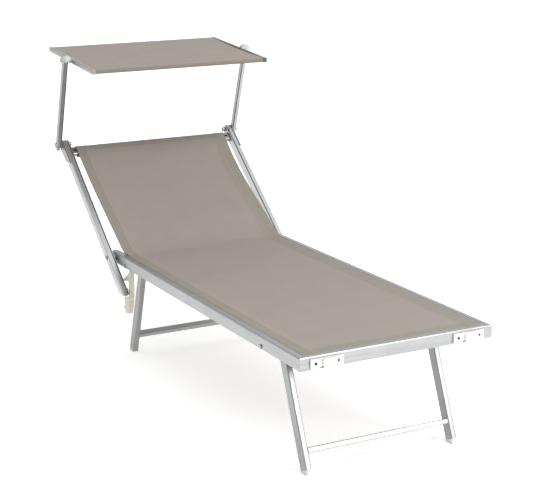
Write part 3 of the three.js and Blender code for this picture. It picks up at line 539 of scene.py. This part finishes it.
@dataclass
class Metalwork:
    """A sub-assembly of rigid pieces: each solid is welded, softened at its curves and finished.

    Its nodes are listed by finish, a left and right pair as one name with {} for the side.
    """

    title: str
    finishes: dict[Finish, list[str]]
    weld: float = 0.00001
    smooth_angle: float = math.radians(32)
    normal_weight: int = 80

    def refine(self, node: str, finish: Finish) -> Object:
        """Makes the visible piece that stands for one rigid solid.

        Args:
            node: The CAD node's name.
            finish: Its finish.

        Returns:
            The new piece.
        """
        piece = bpy.data.objects.new(f"{node}_finished", frame["nodes"][node].data.copy())
        bpy.context.scene.collection.objects.link(piece)
        select_only(piece)
        if piece.data.has_custom_normals:
            bpy.ops.mesh.customdata_custom_splitnormals_clear()
        bpy.ops.object.mode_set(mode="EDIT")
        bpy.ops.mesh.select_all(action="SELECT")
        bpy.ops.mesh.remove_doubles(threshold=self.weld)
        bpy.ops.object.mode_set(mode="OBJECT")
        bpy.ops.object.shade_smooth_by_angle(angle=self.smooth_angle)
        apply_modifier(piece, "WEIGHTED_NORMAL", keep_sharp=True, weight=self.normal_weight)
        piece.data.materials.clear()
        piece.data.materials.append(finish.material())
        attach(piece, body_of_node(node))
        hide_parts(node)
        return piece

    def build(self) -> list[Object]:
        """Finishes every piece of the sub-assembly.

        Returns:
            The new pieces.
        """
        return [
            self.refine(node, finish)
            for finish, patterns in self.finishes.items()
            for pattern in patterns
            for node in dict.fromkeys(pattern.format(side) for side in ("left", "right"))
        ]


@dataclass
class CrossbarRivet:
    """The blind rivet in the face of the front legs' crossbar, to the right of its middle."""

    title: str = "crossbar_rivet"
    across: float = 0.062
    off: float = 0.0168
    drop: float = 0.3104
    radius: float = 0.0032
    height: float = 0.0012
    dimple: float = 0.0016
    dimple_depth: float = 0.6
    dimple_taper: float = 0.0001
    rim: float = 0.35
    rim_segments: int = 3
    rim_angle: float = math.radians(60)
    smooth_angle: float = math.radians(40)
    sides: int = 24

    def inset_top(self, rivet: Object, thickness: float, depth: float) -> None:
        """Insets the topmost face.

        Args:
            rivet: The rivet.
            thickness: How far in.
            depth: How far up.
        """
        bpy.ops.object.mode_set(mode="EDIT")
        bpy.ops.mesh.select_mode(type="FACE")
        bpy.ops.mesh.select_all(action="DESELECT")
        bpy.ops.object.mode_set(mode="OBJECT")
        faces = rivet.data.polygons
        max(faces, key=lambda face: (round(face.center.z, 6), len(face.vertices))).select = True
        bpy.ops.object.mode_set(mode="EDIT")
        bpy.ops.mesh.inset(thickness=thickness, depth=depth)
        bpy.ops.object.mode_set(mode="OBJECT")

    def build(self) -> Object:
        """Shapes the head, with its rounded rim and the hole that the mandrel leaves, and seats it.

        Returns:
            The rivet.
        """
        select_only()
        bpy.ops.mesh.primitive_cylinder_add(
            vertices=self.sides, radius=self.radius, depth=self.height)
        rivet = bpy.context.object
        rivet.name = self.title
        self.inset_top(rivet, self.radius - self.dimple, 0.0)
        self.inset_top(rivet, self.dimple_taper, -self.height * self.dimple_depth)
        apply_modifier(
            rivet, "BEVEL", width=self.height * self.rim, segments=self.rim_segments,
            angle_limit=self.rim_angle)
        seat = joint_place("front_leg_fold")
        out, down = self.off + self.height / 2, self.drop
        cos, sin = math.cos(FRONT_LEG_ANGLE), math.sin(FRONT_LEG_ANGLE)
        rivet.location = (
            self.across, seat.y - out * cos + down * sin, seat.z - out * sin - down * cos)
        rivet.rotation_euler = (math.pi / 2 + FRONT_LEG_ANGLE, 0.0, 0.0)
        select_only(rivet)
        bpy.ops.object.transform_apply(location=True, rotation=True, scale=True)
        bpy.ops.object.shade_smooth_by_angle(angle=self.smooth_angle)
        rivet.data.materials.append(Finish.ZINC.material())
        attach(rivet, "front_leg_frame")
        return rivet


@dataclass(frozen=True)
class Station:
    """One row of threads across a sheet: where it runs, and how it hangs."""

    y: float
    z: float
    normal: tuple[float, float]
    half: float
    tuck: float = 0.0
    slack: float = 0.0
    crown: float = 0.0


@dataclass
class Sheet:
    """A sheet of cloth laid through a row of stations, with hemmed edges."""

    title: str
    rests_on: list[str]
    replaces: list[str]
    weave: Finish = Finish.SLING_WEAVE
    hem: float = 0.042
    hem_rise: float = 0.0007
    hem_step: float = 0.0006
    edge_strip: float = 0.0015
    tuck_depth: float = 0.0065
    side_hems: bool = True
    thickness: float = 0.001
    weld: float = 0.00005
    column_count: int = 26
    smooth_angle: float = math.radians(50)

    def stations(self) -> list[Station]:
        """Gives the rows that the sheet passes through, from one end to the other."""
        raise NotImplementedError

    def ripple(self, across: float, along: float) -> float:
        """Gives how far the cloth stands off its plane. Args: the place, in metres."""
        return 0.0

    def end_inset(self, run: float, runs: Sequence[float]) -> float:
        """Measures how far a row lies from the nearer end of the cloth that is hemmed.

        Args:
            run: The row's distance along the cloth.
            runs: The same for all rows.

        Returns:
            The distance in metres.
        """
        return min(run, runs[-1] - run)

    def columns(self) -> list[tuple[float, float, float]]:
        """Sets out the lengthwise threads over a half of 1.

        Returns:
            For each column: its share of the width inside the hems, its distance in from the edge
            where it lies in a hem or at the edge and -1 elsewhere, and how far it is tucked down.
        """
        edge = [(0.0, 1.0), (0.0, 0.0), (self.edge_strip, 0.0)]
        band = [(self.hem * share, 0.0) for share in (0.25, 0.5, 0.75)]
        step = [(self.hem - self.hem_step, 0.0), (self.hem + self.hem_step, 0.0)]
        side = edge + band + step
        count = self.column_count
        return [
            *((-1.0, inset, tuck) for inset, tuck in side),
            *((-1 + 2 * index / count, -1.0, 0.0) for index in range(1, count)),
            *((1.0, inset, tuck) for inset, tuck in reversed(side)),
        ]

    def place(
        self, station: Station, column: tuple[float, float, float], along: float,
    ) -> tuple[Vector, float]:
        """Places one crossing of the sheet.

        Args:
            station: The row.
            column: The column, as columns gives it.
            along: The row's distance along the cloth.

        Returns:
            The point, and its distance across the flat cloth.
        """
        share, inset, tuck = column
        if inset < 0:
            x = share * (station.half - self.hem - self.hem_step)
            rise = 0.0
        else:
            x = share * (station.half - inset)
            rise = self.hem_rise if inset < self.hem else 0.0
        spread = 1 - (x / station.half) ** 2
        lift = rise - station.slack - station.crown * spread + self.ripple(x, along)
        drop = tuck * station.tuck * self.tuck_depth
        y = station.y + station.normal[0] * lift
        z = station.z + station.normal[1] * lift - drop
        return Vector((x, y, z)), x + math.copysign(drop, x)

    def lay(self, mesh: Mesh, rows: Sequence[Station], runs: Sequence[float]) -> None:
        """Moves a grid's vertices to the stations, and writes the cloth's measures as UV maps.

        Args:
            mesh: The grid, with the sheet's rows and columns.
            rows: The stations.
            runs: Each row's distance along the cloth.
        """
        columns, points = self.columns(), mesh.vertices
        order = sorted(range(len(points)), key=lambda i: (round(points[i].co.y, 5), points[i].co.x))
        flat, edge = [(0.0, 0.0)] * len(order), [(0.0, 0.0)] * len(order)
        for rank, index in enumerate(order):
            row, column = divmod(rank, len(columns))
            station, run = rows[row], runs[row]
            point, across = self.place(station, columns[column], run)
            points[index].co = point
            flat[index] = (across, run)
            side = max(0.0, station.half - abs(point.x)) if self.side_hems else station.half
            edge[index] = (side, self.end_inset(run, runs))
        while mesh.uv_layers:
            mesh.uv_layers.remove(mesh.uv_layers[0])
        for name, measure in (("flat", flat), ("edge", edge)):
            layer = mesh.uv_layers.new(name=name)
            for loop in mesh.loops:
                layer.data[loop.index].uv = measure[loop.vertex_index]

    def build(self) -> Object:
        """Weaves the sheet: a grid is laid through the stations and given its thickness.

        Returns:
            The sheet, not yet on a body.
        """
        rows = self.stations()
        runs = [0.0]
        for last, this in zip(rows, rows[1:]):
            runs.append(runs[-1] + math.hypot(this.y - last.y, this.z - last.z))
        select_only()
        bpy.ops.mesh.primitive_grid_add(
            x_subdivisions=len(self.columns()) - 1, y_subdivisions=len(rows) - 1, size=1)
        sheet = bpy.context.object
        sheet.name = self.title
        self.lay(sheet.data, rows, runs)
        bpy.ops.object.mode_set(mode="EDIT")
        bpy.ops.mesh.select_all(action="SELECT")
        bpy.ops.mesh.remove_doubles(threshold=self.weld)
        bpy.ops.object.mode_set(mode="OBJECT")
        apply_modifier(
            sheet, "SOLIDIFY", thickness=self.thickness, offset=0.0, use_even_offset=False)
        bpy.ops.object.shade_smooth_by_angle(angle=self.smooth_angle)
        sheet.data.materials.clear()
        sheet.data.materials.append(self.weave.material())
        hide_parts(*self.replaces)
        halves = [row.half + row.tuck * self.tuck_depth for row in rows]
        width, length = 2 * max(halves), runs[-1]
        area = sum(
            (a + b) * (after - before)
            for a, b, before, after in zip(halves, halves[1:], runs, runs[1:]))
        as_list(self.rests_on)
        LOG.info("%s: cut %.0f by %.0f mm", self.title, width * 1000, length * 1000)
        return sheet


def spaced(start: float, end: float, step: float) -> list[float]:
    """Divides a stretch evenly.

    Args:
        start: Where it starts.
        end: Where it ends.
        step: The longest division wanted.

    Returns:
        The places, both ends among them.
    """
    count = max(1, math.ceil(abs(end - start) / step))
    return [start + (end - start) * index / count for index in range(count + 1)]


def ease(value: float) -> float:
    """Gives a smooth step from 0 to 1. Args: value, which is held between 0 and 1."""
    held = min(1.0, max(0.0, value))
    return held * held * (3 - 2 * held)


@dataclass(frozen=True)
class Crease:
    """A soft fold that runs from a corner of the back into the open cloth and fades out there."""

    start: tuple[float, float]
    end: tuple[float, float]
    depth: float
    width: float

    def height(self, across: float, rise: float) -> float:
        """Gives the cloth's offset: a ridge above the crease and a trough below it.

        Args:
            across: The place's distance to the right.
            rise: Its distance along the cloth from the fold.

        Returns:
            The offset in metres.
        """
        run = (self.end[0] - self.start[0], self.end[1] - self.start[1])
        length = math.hypot(*run)
        way = (across - self.start[0], rise - self.start[1])
        share = (way[0] * run[0] + way[1] * run[1]) / length ** 2
        side = (way[1] * run[0] - way[0] * run[1]) / length / self.width
        side *= math.copysign(1.0, run[0])
        # It deepens over its first fifth and fades over its last half.
        fade = ease(share * 5) * ease((1 - share) * 2)
        return self.depth * fade * side * math.exp(0.5 - side * side / 2)


@dataclass(frozen=True)
class Pull:
    """A patch of faint waves that tension leaves across the cloth."""

    centre: float
    reach: float
    rate: float
    slant: float
    depth: float

    def height(self, across: float, rise: float) -> float:
        """Gives the cloth's offset. Args: the place, as Crease takes it."""
        fade = math.exp(-(((rise - self.centre) / self.reach) ** 2))
        return math.sin(rise * self.rate + across * self.slant) * fade * self.depth


@dataclass
class Sling(Sheet):
    """The one sheet of seat and back: beaded into the frame's slots and sewn round the top bar."""

    foot: float = FOOT_FACE + 0.0204
    level: float = 0.3790
    channel: float = 0.3728
    lip: float = 0.0006
    seat_half: float = 0.2946
    back_half: float = 0.3005
    waist: float = 0.003
    plane: float = 0.0101
    fold: float = -0.0355
    fold_lift: float = 0.0439
    fold_rows: int = 12
    freed_from: float = 0.3
    bend_reach: float = 0.042
    sag: float = 0.012
    sag_skew: float = 1.63
    bar_front: float = 0.4779
    top: float = 0.5129
    pocket_end: float = 0.4772
    hem_end: float = 0.4682
    tail: float = 0.008
    bend: float = 0.004
    bend_rows: int = 4
    slant_rows: int = 5
    seat_slack: float = 0.006
    slack_start: float = 0.3
    slack_end: float = 0.25
    taut_end: float = 0.03
    back_crown: float = 0.004
    step: float = 0.014
    creases: tuple[Crease, ...] = (
        Crease((0.285, 0.035), (-0.10, 0.21), 0.0011, 0.016),
        Crease((0.285, 0.02), (0.02, 0.085), 0.0006, 0.012),
        Crease((-0.285, 0.04), (-0.03, 0.15), 0.0006, 0.015),
    )
    pulls: tuple[Pull, ...] = (
        Pull(0.10, 0.09, 42.0, 16.0, 0.0005),
        Pull(-0.14, 0.07, 38.0, -12.0, 0.0004),
    )

    @property
    def fold_start(self) -> float:
        """Gives the Y where the seat begins to bend up."""
        return self.on_back(self.fold, self.off(self.fold))[0] - self.bend_reach

    @property
    def flap(self) -> float:
        """Gives the length of cloth behind the fold over the top bar."""
        slant = math.hypot(self.pocket_end - self.hem_end, 2 * self.plane - 2 * self.thickness)
        corner = (math.pi / 2 - 2) * self.bend
        return self.plane + corner + self.top - self.pocket_end + slant + self.tail

    def hang(self, along: float) -> float:
        """Gives the share of its full sag that the back has. Args: the distance up the tubes."""
        share = (along - self.fold) / (self.bar_front - self.fold)
        return math.sin(math.pi * share ** self.sag_skew) if 0 < share < 1 else 0.0

    def off(self, along: float) -> float:
        """Gives how far the back's edges stand off the tubes. Args: the distance up the tubes."""
        chord = self.fold_lift * (self.bar_front - along) / (self.bar_front - self.fold)
        return self.plane + chord - self.sag * self.hang(along)

    def on_back(self, along: float, off: float) -> tuple[float, float]:
        """Places a point up the backrest and off it. Args: as on_plane has them."""
        return on_plane(BACK_PIVOT, BACK_ANGLE, along, off)

    def over_seat(self) -> list[Station]:
        """Lays the sheet out of the foot slot and over the seat.

        Returns:
            The rows, from the foot to the fold.
        """
        lip, half = self.lip, self.seat_half
        rows = [
            Station(self.foot, self.channel, (-1.0, 0.0), half),
            Station(self.foot, self.level - 2 * lip, (-1.0, 0.0), half),
            Station(self.foot + lip, self.level - lip / 3, (-0.5, 0.8), half),
        ]
        end = self.fold_start
        for y in spaced(self.foot + 3 * lip, end, self.step):
            slack = ease((y - self.foot) / self.slack_start)
            slack *= ease((end - self.taut_end - y) / self.slack_end)
            crown = self.seat_slack * slack
            rows.append(Station(y, self.level, (0.0, 1.0), half, tuck=1.0, crown=crown))
        return rows

    def round_fold(self) -> list[Station]:
        """Bends the sheet up, along a curve that the corner of seat and back draws to itself.

        Returns:
            The rows between the seat and the back.
        """
        reach, rows = self.bend_reach, []
        start = self.fold_start
        end_y, end_z = self.on_back(self.fold + reach, self.off(self.fold + reach))
        for index in range(1, self.fold_rows):
            t = index / self.fold_rows
            first, middle, last = (1 - t) ** 2, 2 * t * (1 - t), t ** 2
            y = first * start + middle * (start + reach) + last * end_y
            z = (first + middle) * self.level + last * end_z
            angle = BACK_ANGLE * t
            free = ease((t - self.freed_from) * 2)
            half = self.seat_half + (self.back_half - self.seat_half) * free
            rows.append(Station(y, z, (-math.sin(angle), math.cos(angle)), half, tuck=1 - free))
        return rows

    def up_back(self) -> list[Station]:
        """Hangs the sheet from the fold to the top bar, and lays it over the bar's face.

        Returns:
            The rows up to the bar's upper edge.
        """
        front = (-math.sin(BACK_ANGLE), math.cos(BACK_ANGLE))
        rows = []
        for along in spaced(self.fold + self.bend_reach, self.bar_front, self.step):
            hang, (y, z) = self.hang(along), self.on_back(along, self.off(along))
            half = self.back_half - self.waist * hang
            rows.append(Station(y, z, front, half, crown=self.back_crown * hang))
        for along in spaced(self.bar_front, self.top - self.bend, self.step)[1:]:
            rows.append(Station(*self.on_back(along, self.plane), front, self.back_half))
        return rows

    def round_bar(self) -> list[Station]:
        """Turns the sheet over the top bar, closes the pocket behind it and sews the end down.

        Returns:
            The rows from the bar's upper edge to the end of the cloth.
        """
        rows = []
        for index in range(1, 2 * self.bend_rows + 1):
            angle = math.pi / 2 * (1 - index / self.bend_rows)
            side = 1 if index <= self.bend_rows else -1
            along = self.top - self.bend * (1 - math.cos(angle))
            off = side * (self.plane - self.bend) + self.bend * math.sin(angle)
            turn = BACK_ANGLE + angle
            rows.append(Station(
                *self.on_back(along, off), (math.cos(turn), math.sin(turn)), self.back_half))
        sewn = self.plane - 2 * self.thickness
        down = spaced(self.top - self.bend, self.pocket_end, self.step)[1:]
        path = [(along, -self.plane) for along in down]
        for index in range(1, self.slant_rows + 1):
            share = index / self.slant_rows
            along = self.pocket_end + (self.hem_end - self.pocket_end) * share
            path.append((along, -self.plane + (sewn + self.plane) * ease(share)))
        tail = spaced(self.hem_end, self.hem_end - self.tail, self.tail / 2)[1:]
        path += [(along, sewn) for along in tail]
        behind = (math.sin(BACK_ANGLE), -math.cos(BACK_ANGLE))
        return rows + [Station(*self.on_back(*place), behind, self.back_half) for place in path]

    def stations(self) -> list[Station]:
        """Lays the sheet from the foot slot, over the seat and up the back, round the top bar."""
        return self.over_seat() + self.round_fold() + self.up_back() + self.round_bar()

    def end_inset(self, run: float, runs: Sequence[float]) -> float:
        """Measures from the foot slot, or from the fold over the top bar.

        Args:
            run: The row's distance along the cloth.
            runs: The same for all rows.

        Returns:
            The distance in metres.
        """
        crest = runs[-1] - self.flap
        return min(run - self.tuck_depth, abs(crest - run))

    def ripple(self, across: float, along: float) -> float:
        """Draws the pulls and creases that tension leaves by the fold.

        Args:
            across: The place's distance to the right.
            along: Its distance along the cloth from the foot.

        Returns:
            How far the cloth stands off its plane there, in metres.
        """
        rise = along - (self.fold_start - self.foot)
        edge = max(0.0, 1 - (across / self.seat_half) ** 2)
        pulled = sum(pull.height(across, rise) for pull in self.pulls)
        return pulled * edge + sum(crease.height(across, rise) for crease in self.creases)


@dataclass
class CanopyCover(Sheet):
    """The canopy's sheet: stretched over both bars and hemmed under them."""

    weave: Finish = Finish.CANOPY_WEAVE
    hem_rise: float = 0.0
    side_hems: bool = False
    front: float = -0.2183
    rear: float = 0.2258
    face: float = 0.0040
    under: float = -0.0104
    clearance: float = 0.0001
    closest: float = 0.0002
    lap: float = 0.015
    taut: float = 0.018
    half: float = 0.3222
    beaded_half: float = 0.3258
    bead_start: float = 0.0035
    tuck_depth: float = 0.0045
    bend: float = 0.0045
    bend_rows: int = 4
    slack: float = 0.003
    slack_spread: float = 0.8
    crown: float = 0.002
    step: float = 0.012

    def stretch(
        self, start: float, end: float, height: float, heading: float, hangs: bool = False,
    ) -> list[tuple[float, float, float, float]]:
        """Sets out a level stretch of the sheet.

        Args:
            start: Where it starts.
            end: Where it ends.
            height: Its height over the joints.
            heading: The way that the cloth's outside faces, as an angle.
            hangs: Whether it hangs free.

        Returns:
            For each row: where it lies, its height, its heading and its share of the slack.
        """
        path = []
        for along in spaced(start, end, self.step):
            share = (along - start) / (end - start)
            free = hangs and 0 < share < 1
            hang = math.sin(math.pi * share) ** self.slack_spread if free else 0.0
            path.append((along, height, heading, hang))
        return path

    def half_turn(
        self, along: float, height: float, start: float,
    ) -> list[tuple[float, float, float, float]]:
        """Sets out a half turn of the sheet round a bar.

        Args:
            along: Where its bends have their middle line.
            height: The first bend's height.
            start: The heading that it starts at.

        Returns:
            The rows, as stretch gives them.
        """
        upright = self.face - self.under - 2 * self.bend
        lift = upright if start > math.pi else -upright
        quarter, count = math.pi / 2, self.bend_rows
        turns = [(height, start - quarter * index / count) for index in range(1, count + 1)]
        turns += [
            (height + lift, start - quarter - quarter * index / count) for index in range(count)]
        return [
            (along + self.bend * math.cos(angle), middle + self.bend * math.sin(angle), angle, 0.0)
            for middle, angle in turns]

    def stations(self) -> list[Station]:
        """Lays the sheet from the hem under the front bar to the hem under the rear bar.

        Returns:
            The rows, from the front to the rear.
        """
        inset = self.thickness / 2 + self.clearance
        front, rear, bend = self.front + inset, self.rear - inset, self.bend
        up, down = math.pi / 2, -math.pi / 2
        path = [
            *self.stretch(front + self.lap, front + bend, self.under, down),
            *self.half_turn(front + bend, self.under + bend, math.pi * 1.5),
            *self.stretch(front + bend, front + self.taut, self.face, up),
            *self.stretch(front + self.taut, rear - self.taut, self.face, up, hangs=True),
            *self.stretch(rear - self.taut, rear - bend, self.face, up),
            *self.half_turn(rear - bend, self.face - bend, up),
            *self.stretch(rear - bend, rear - self.lap, self.under, down),
        ]
        first, last = front + self.bead_start, rear - self.bead_start
        rows: list[Station] = []
        for along, height, heading, hang in path:
            y, z = on_plane(CANOPY_PIVOT, CANOPY_ANGLE, along, height)
            if rows and math.hypot(rows[-1].y - y, rows[-1].z - z) < self.closest:
                continue
            turned = heading + CANOPY_ANGLE
            beaded = height == self.face and first < along < last
            rows.append(Station(
                y, z, (math.cos(turned), math.sin(turned)),
                self.beaded_half if beaded else self.half, tuck=1.0 if beaded else 0.0,
                slack=self.slack * hang, crown=self.crown * hang))
        return rows


@dataclass(frozen=True)
class SoftBox:
    """A square soft box: where it hangs, what it points at, how wide it is and its watts."""

    name: str
    place: tuple[float, float, float]
    aim: tuple[float, float, float]
    size: float
    power: float

    def hang(self) -> Object:
        """Hangs the soft box.

        Returns:
            The light.
        """
        data = bpy.data.lights.new(self.name, "AREA")
        data.shape = "SQUARE"
        data.size = self.size
        data.energy = self.power
        lamp = bpy.data.objects.new(self.name, data)
        lamp.location = self.place
        way = Vector(self.aim) - Vector(self.place)
        lamp.rotation_euler = way.to_track_quat("-Z", "Y").to_euler()
        bpy.context.scene.collection.objects.link(lamp)
        return lamp


@dataclass
class Studio:
    """The pale floor, the soft light and the camera of the photograph."""

    camera_place: tuple[float, float, float] = (-2.05548, FOOT_FACE - 3.20415, 1.59891)
    yaw: float = math.radians(27.17)
    pitch: float = math.radians(14.15)
    roll: float = math.radians(-0.70)
    lens: float = 96.657
    sensor: float = 36.0
    sight: float = 60.0
    floor_size: float = 60.0
    floor_colours: tuple[str, str] = ("#efefee", "#f4f4f3")
    floor_patch: float = 1 / 3
    floor_glow: float = 0.42
    zenith: str = "#ffffff"
    horizon: str = "#e6e7e7"
    shade_side: str = "#a9aeb3"
    zenith_band: tuple[float, float] = (0.05, 0.8)
    shade_band: tuple[float, float] = (0.4, -0.8)
    sky_strength: float = 1.05
    boxes: tuple[SoftBox, ...] = (
        SoftBox("overhead_box", (1.0, -2.2, 3.7), (0.0, -0.3, 0.4), 1.6, 110.0),
        SoftBox("front_box", (1.86, -4.1, 1.93), (0.0, 0.0, 0.4), 1.3, 60.0),
    )

    def camera(self) -> Object:
        """Sets the camera where the photograph was taken from.

        Returns:
            The camera.
        """
        forward = Vector((
            math.sin(self.yaw) * math.cos(self.pitch), math.cos(self.yaw) * math.cos(self.pitch),
            -math.sin(self.pitch)))
        level = Vector((math.cos(self.yaw), -math.sin(self.yaw), 0.0))
        upward = level.cross(forward)
        right = level * math.cos(self.roll) + upward * math.sin(self.roll)
        up = upward * math.cos(self.roll) - level * math.sin(self.roll)
        data = bpy.data.cameras.new("photograph")
        data.lens = self.lens
        data.sensor_width = self.sensor
        data.clip_end = self.sight
        camera = bpy.data.objects.new("photograph", data)
        turn = Matrix((right, up, -forward)).transposed().to_4x4()
        camera.matrix_world = Matrix.Translation(self.camera_place) @ turn
        bpy.context.scene.collection.objects.link(camera)
        bpy.context.scene.camera = camera
        return camera

    def floor(self) -> Object:
        """Lays the plain floor.

        Returns:
            The floor.
        """
        select_only()
        bpy.ops.mesh.primitive_plane_add(size=self.floor_size, location=(0, 0, 0))
        floor = bpy.context.object
        floor.name = "studio_floor"
        material = bpy.data.materials.new("studio_floor_paint")
        nodes = Nodes(material)
        place = nodes.add("TexCoord").outputs["Object"]
        patches = nodes.noise(place, self.floor_patch, 2.0)
        colour = nodes.ramp(patches, (0.0, 1.0), self.floor_colours)
        nodes.surface({
            "Base Color": colour, "Roughness": 0.9,
            "Emission Color": linear("#ffffff"), "Emission Strength": self.floor_glow})
        floor.data.materials.append(material)
        return floor

    def sky(self) -> None:
        """Fills the room with soft light: white overhead, paler all round and grey to the left."""
        world = bpy.data.worlds.new("studio")
        nodes = Nodes(world)
        way = nodes.add("TexCoord").outputs["Generated"]
        way = nodes.add("SeparateXYZ", {"Vector": way}).outputs
        height = nodes.remap(way["Z"], self.zenith_band, interpolation_type="SMOOTHSTEP")
        dim = nodes.remap(way["X"], self.shade_band, interpolation_type="SMOOTHSTEP")
        wall = nodes.mix(dim, linear(self.horizon), linear(self.shade_side))
        room = nodes.mix(height, wall, linear(self.zenith))
        glow = nodes.add("Background", {"Color": room, "Strength": self.sky_strength})
        nodes.add("OutputWorld", {"Surface": glow.outputs["Background"]})
        bpy.context.scene.world = world

    def build(self) -> None:
        """Sets up the camera, the floor and the light."""
        view = bpy.context.scene.view_settings
        view.view_transform = "Standard"
        view.look = "None"
        self.camera()
        self.floor()
        self.sky()
        for box in self.boxes:
            box.hang()


def main() -> None:
    """Builds the scene's classes in order and reports each piece."""
    logging.basicConfig(level=logging.INFO, format="%(message)s")
    Studio().build()
    groups = [
        Metalwork("seat frame", {
            Finish.CROSSBAR: ["foot_crossbar", "rear_crossbar"],
            Finish.RAIL: ["side_rail_{}"],
            Finish.WHITE: ["bumper_{}", "pivot_washer_{}"],
            Finish.BLACK: ["bumper_screw_{}_a", "bumper_screw_{}_b"],
            Finish.ZINC: [
                "front_leg_bolt_{}", "rear_leg_bolt_{}", "backrest_pivot_bolt_{}", "rack_pin_{}"]}),
        Metalwork("racks", {Finish.IVORY: ["rack_{}"]}),
        Metalwork("leg frames", {
            Finish.FRONT_LEG: ["front_leg_{}"],
            Finish.REAR_LEG: ["rear_leg_{}"],
            Finish.WHITE: ["front_foot_cap_{}", "rear_foot_cap_{}"],
            Finish.LEG_BAR: [
                "front_leg_tube", "rear_leg_tube", "front_leg_crossbar", "rear_leg_crossbar"]}),
        Metalwork("backrest", {
            Finish.CROSSBAR: ["top_bar"],
            Finish.TUBE: ["backrest_tube_{}"],
            Finish.GREY: ["tube_end_plug_{}"],
            Finish.ZINC: ["joint_plate_{}", "rack_peg_{}", "arm_bolt_{}"]}),
        Metalwork("canopy arms", {Finish.ARM: ["canopy_arm_{}"]}),
        Metalwork("canopy frame", {
            Finish.CROSSBAR: ["canopy_front_bar", "canopy_rear_bar"],
            Finish.STONE: ["canopy_end_plug_left"],
            Finish.GREEN: ["canopy_end_plug_right"],
            Finish.CANOPY_RAIL: ["canopy_rail_{}"],
            Finish.HUB: ["canopy_hub_{}"],
            Finish.ZINC: ["hub_bolt_{}"]}),
    ]
    for group in groups:
        pieces = group.build()
        LOG.info("%s: %d pieces", group.title, len(pieces))
    CrossbarRivet().build()
    LOG.info("crossbar rivet: set")
    sling = Sling(
        "sling_fabric", rests_on=["foot_crossbar", "side_rail_left", "side_rail_right", "top_bar"],
        replaces=["seat_fabric", "back_fabric"]).build()
    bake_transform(sling)
    cover = CanopyCover(
        "canopy_cover", rests_on=["canopy_front_bar", "canopy_rear_bar"],
        replaces=["canopy_fabric"]).build()
    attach(cover, "canopy")
    select_only()


if __name__ == "__main__":
    main()
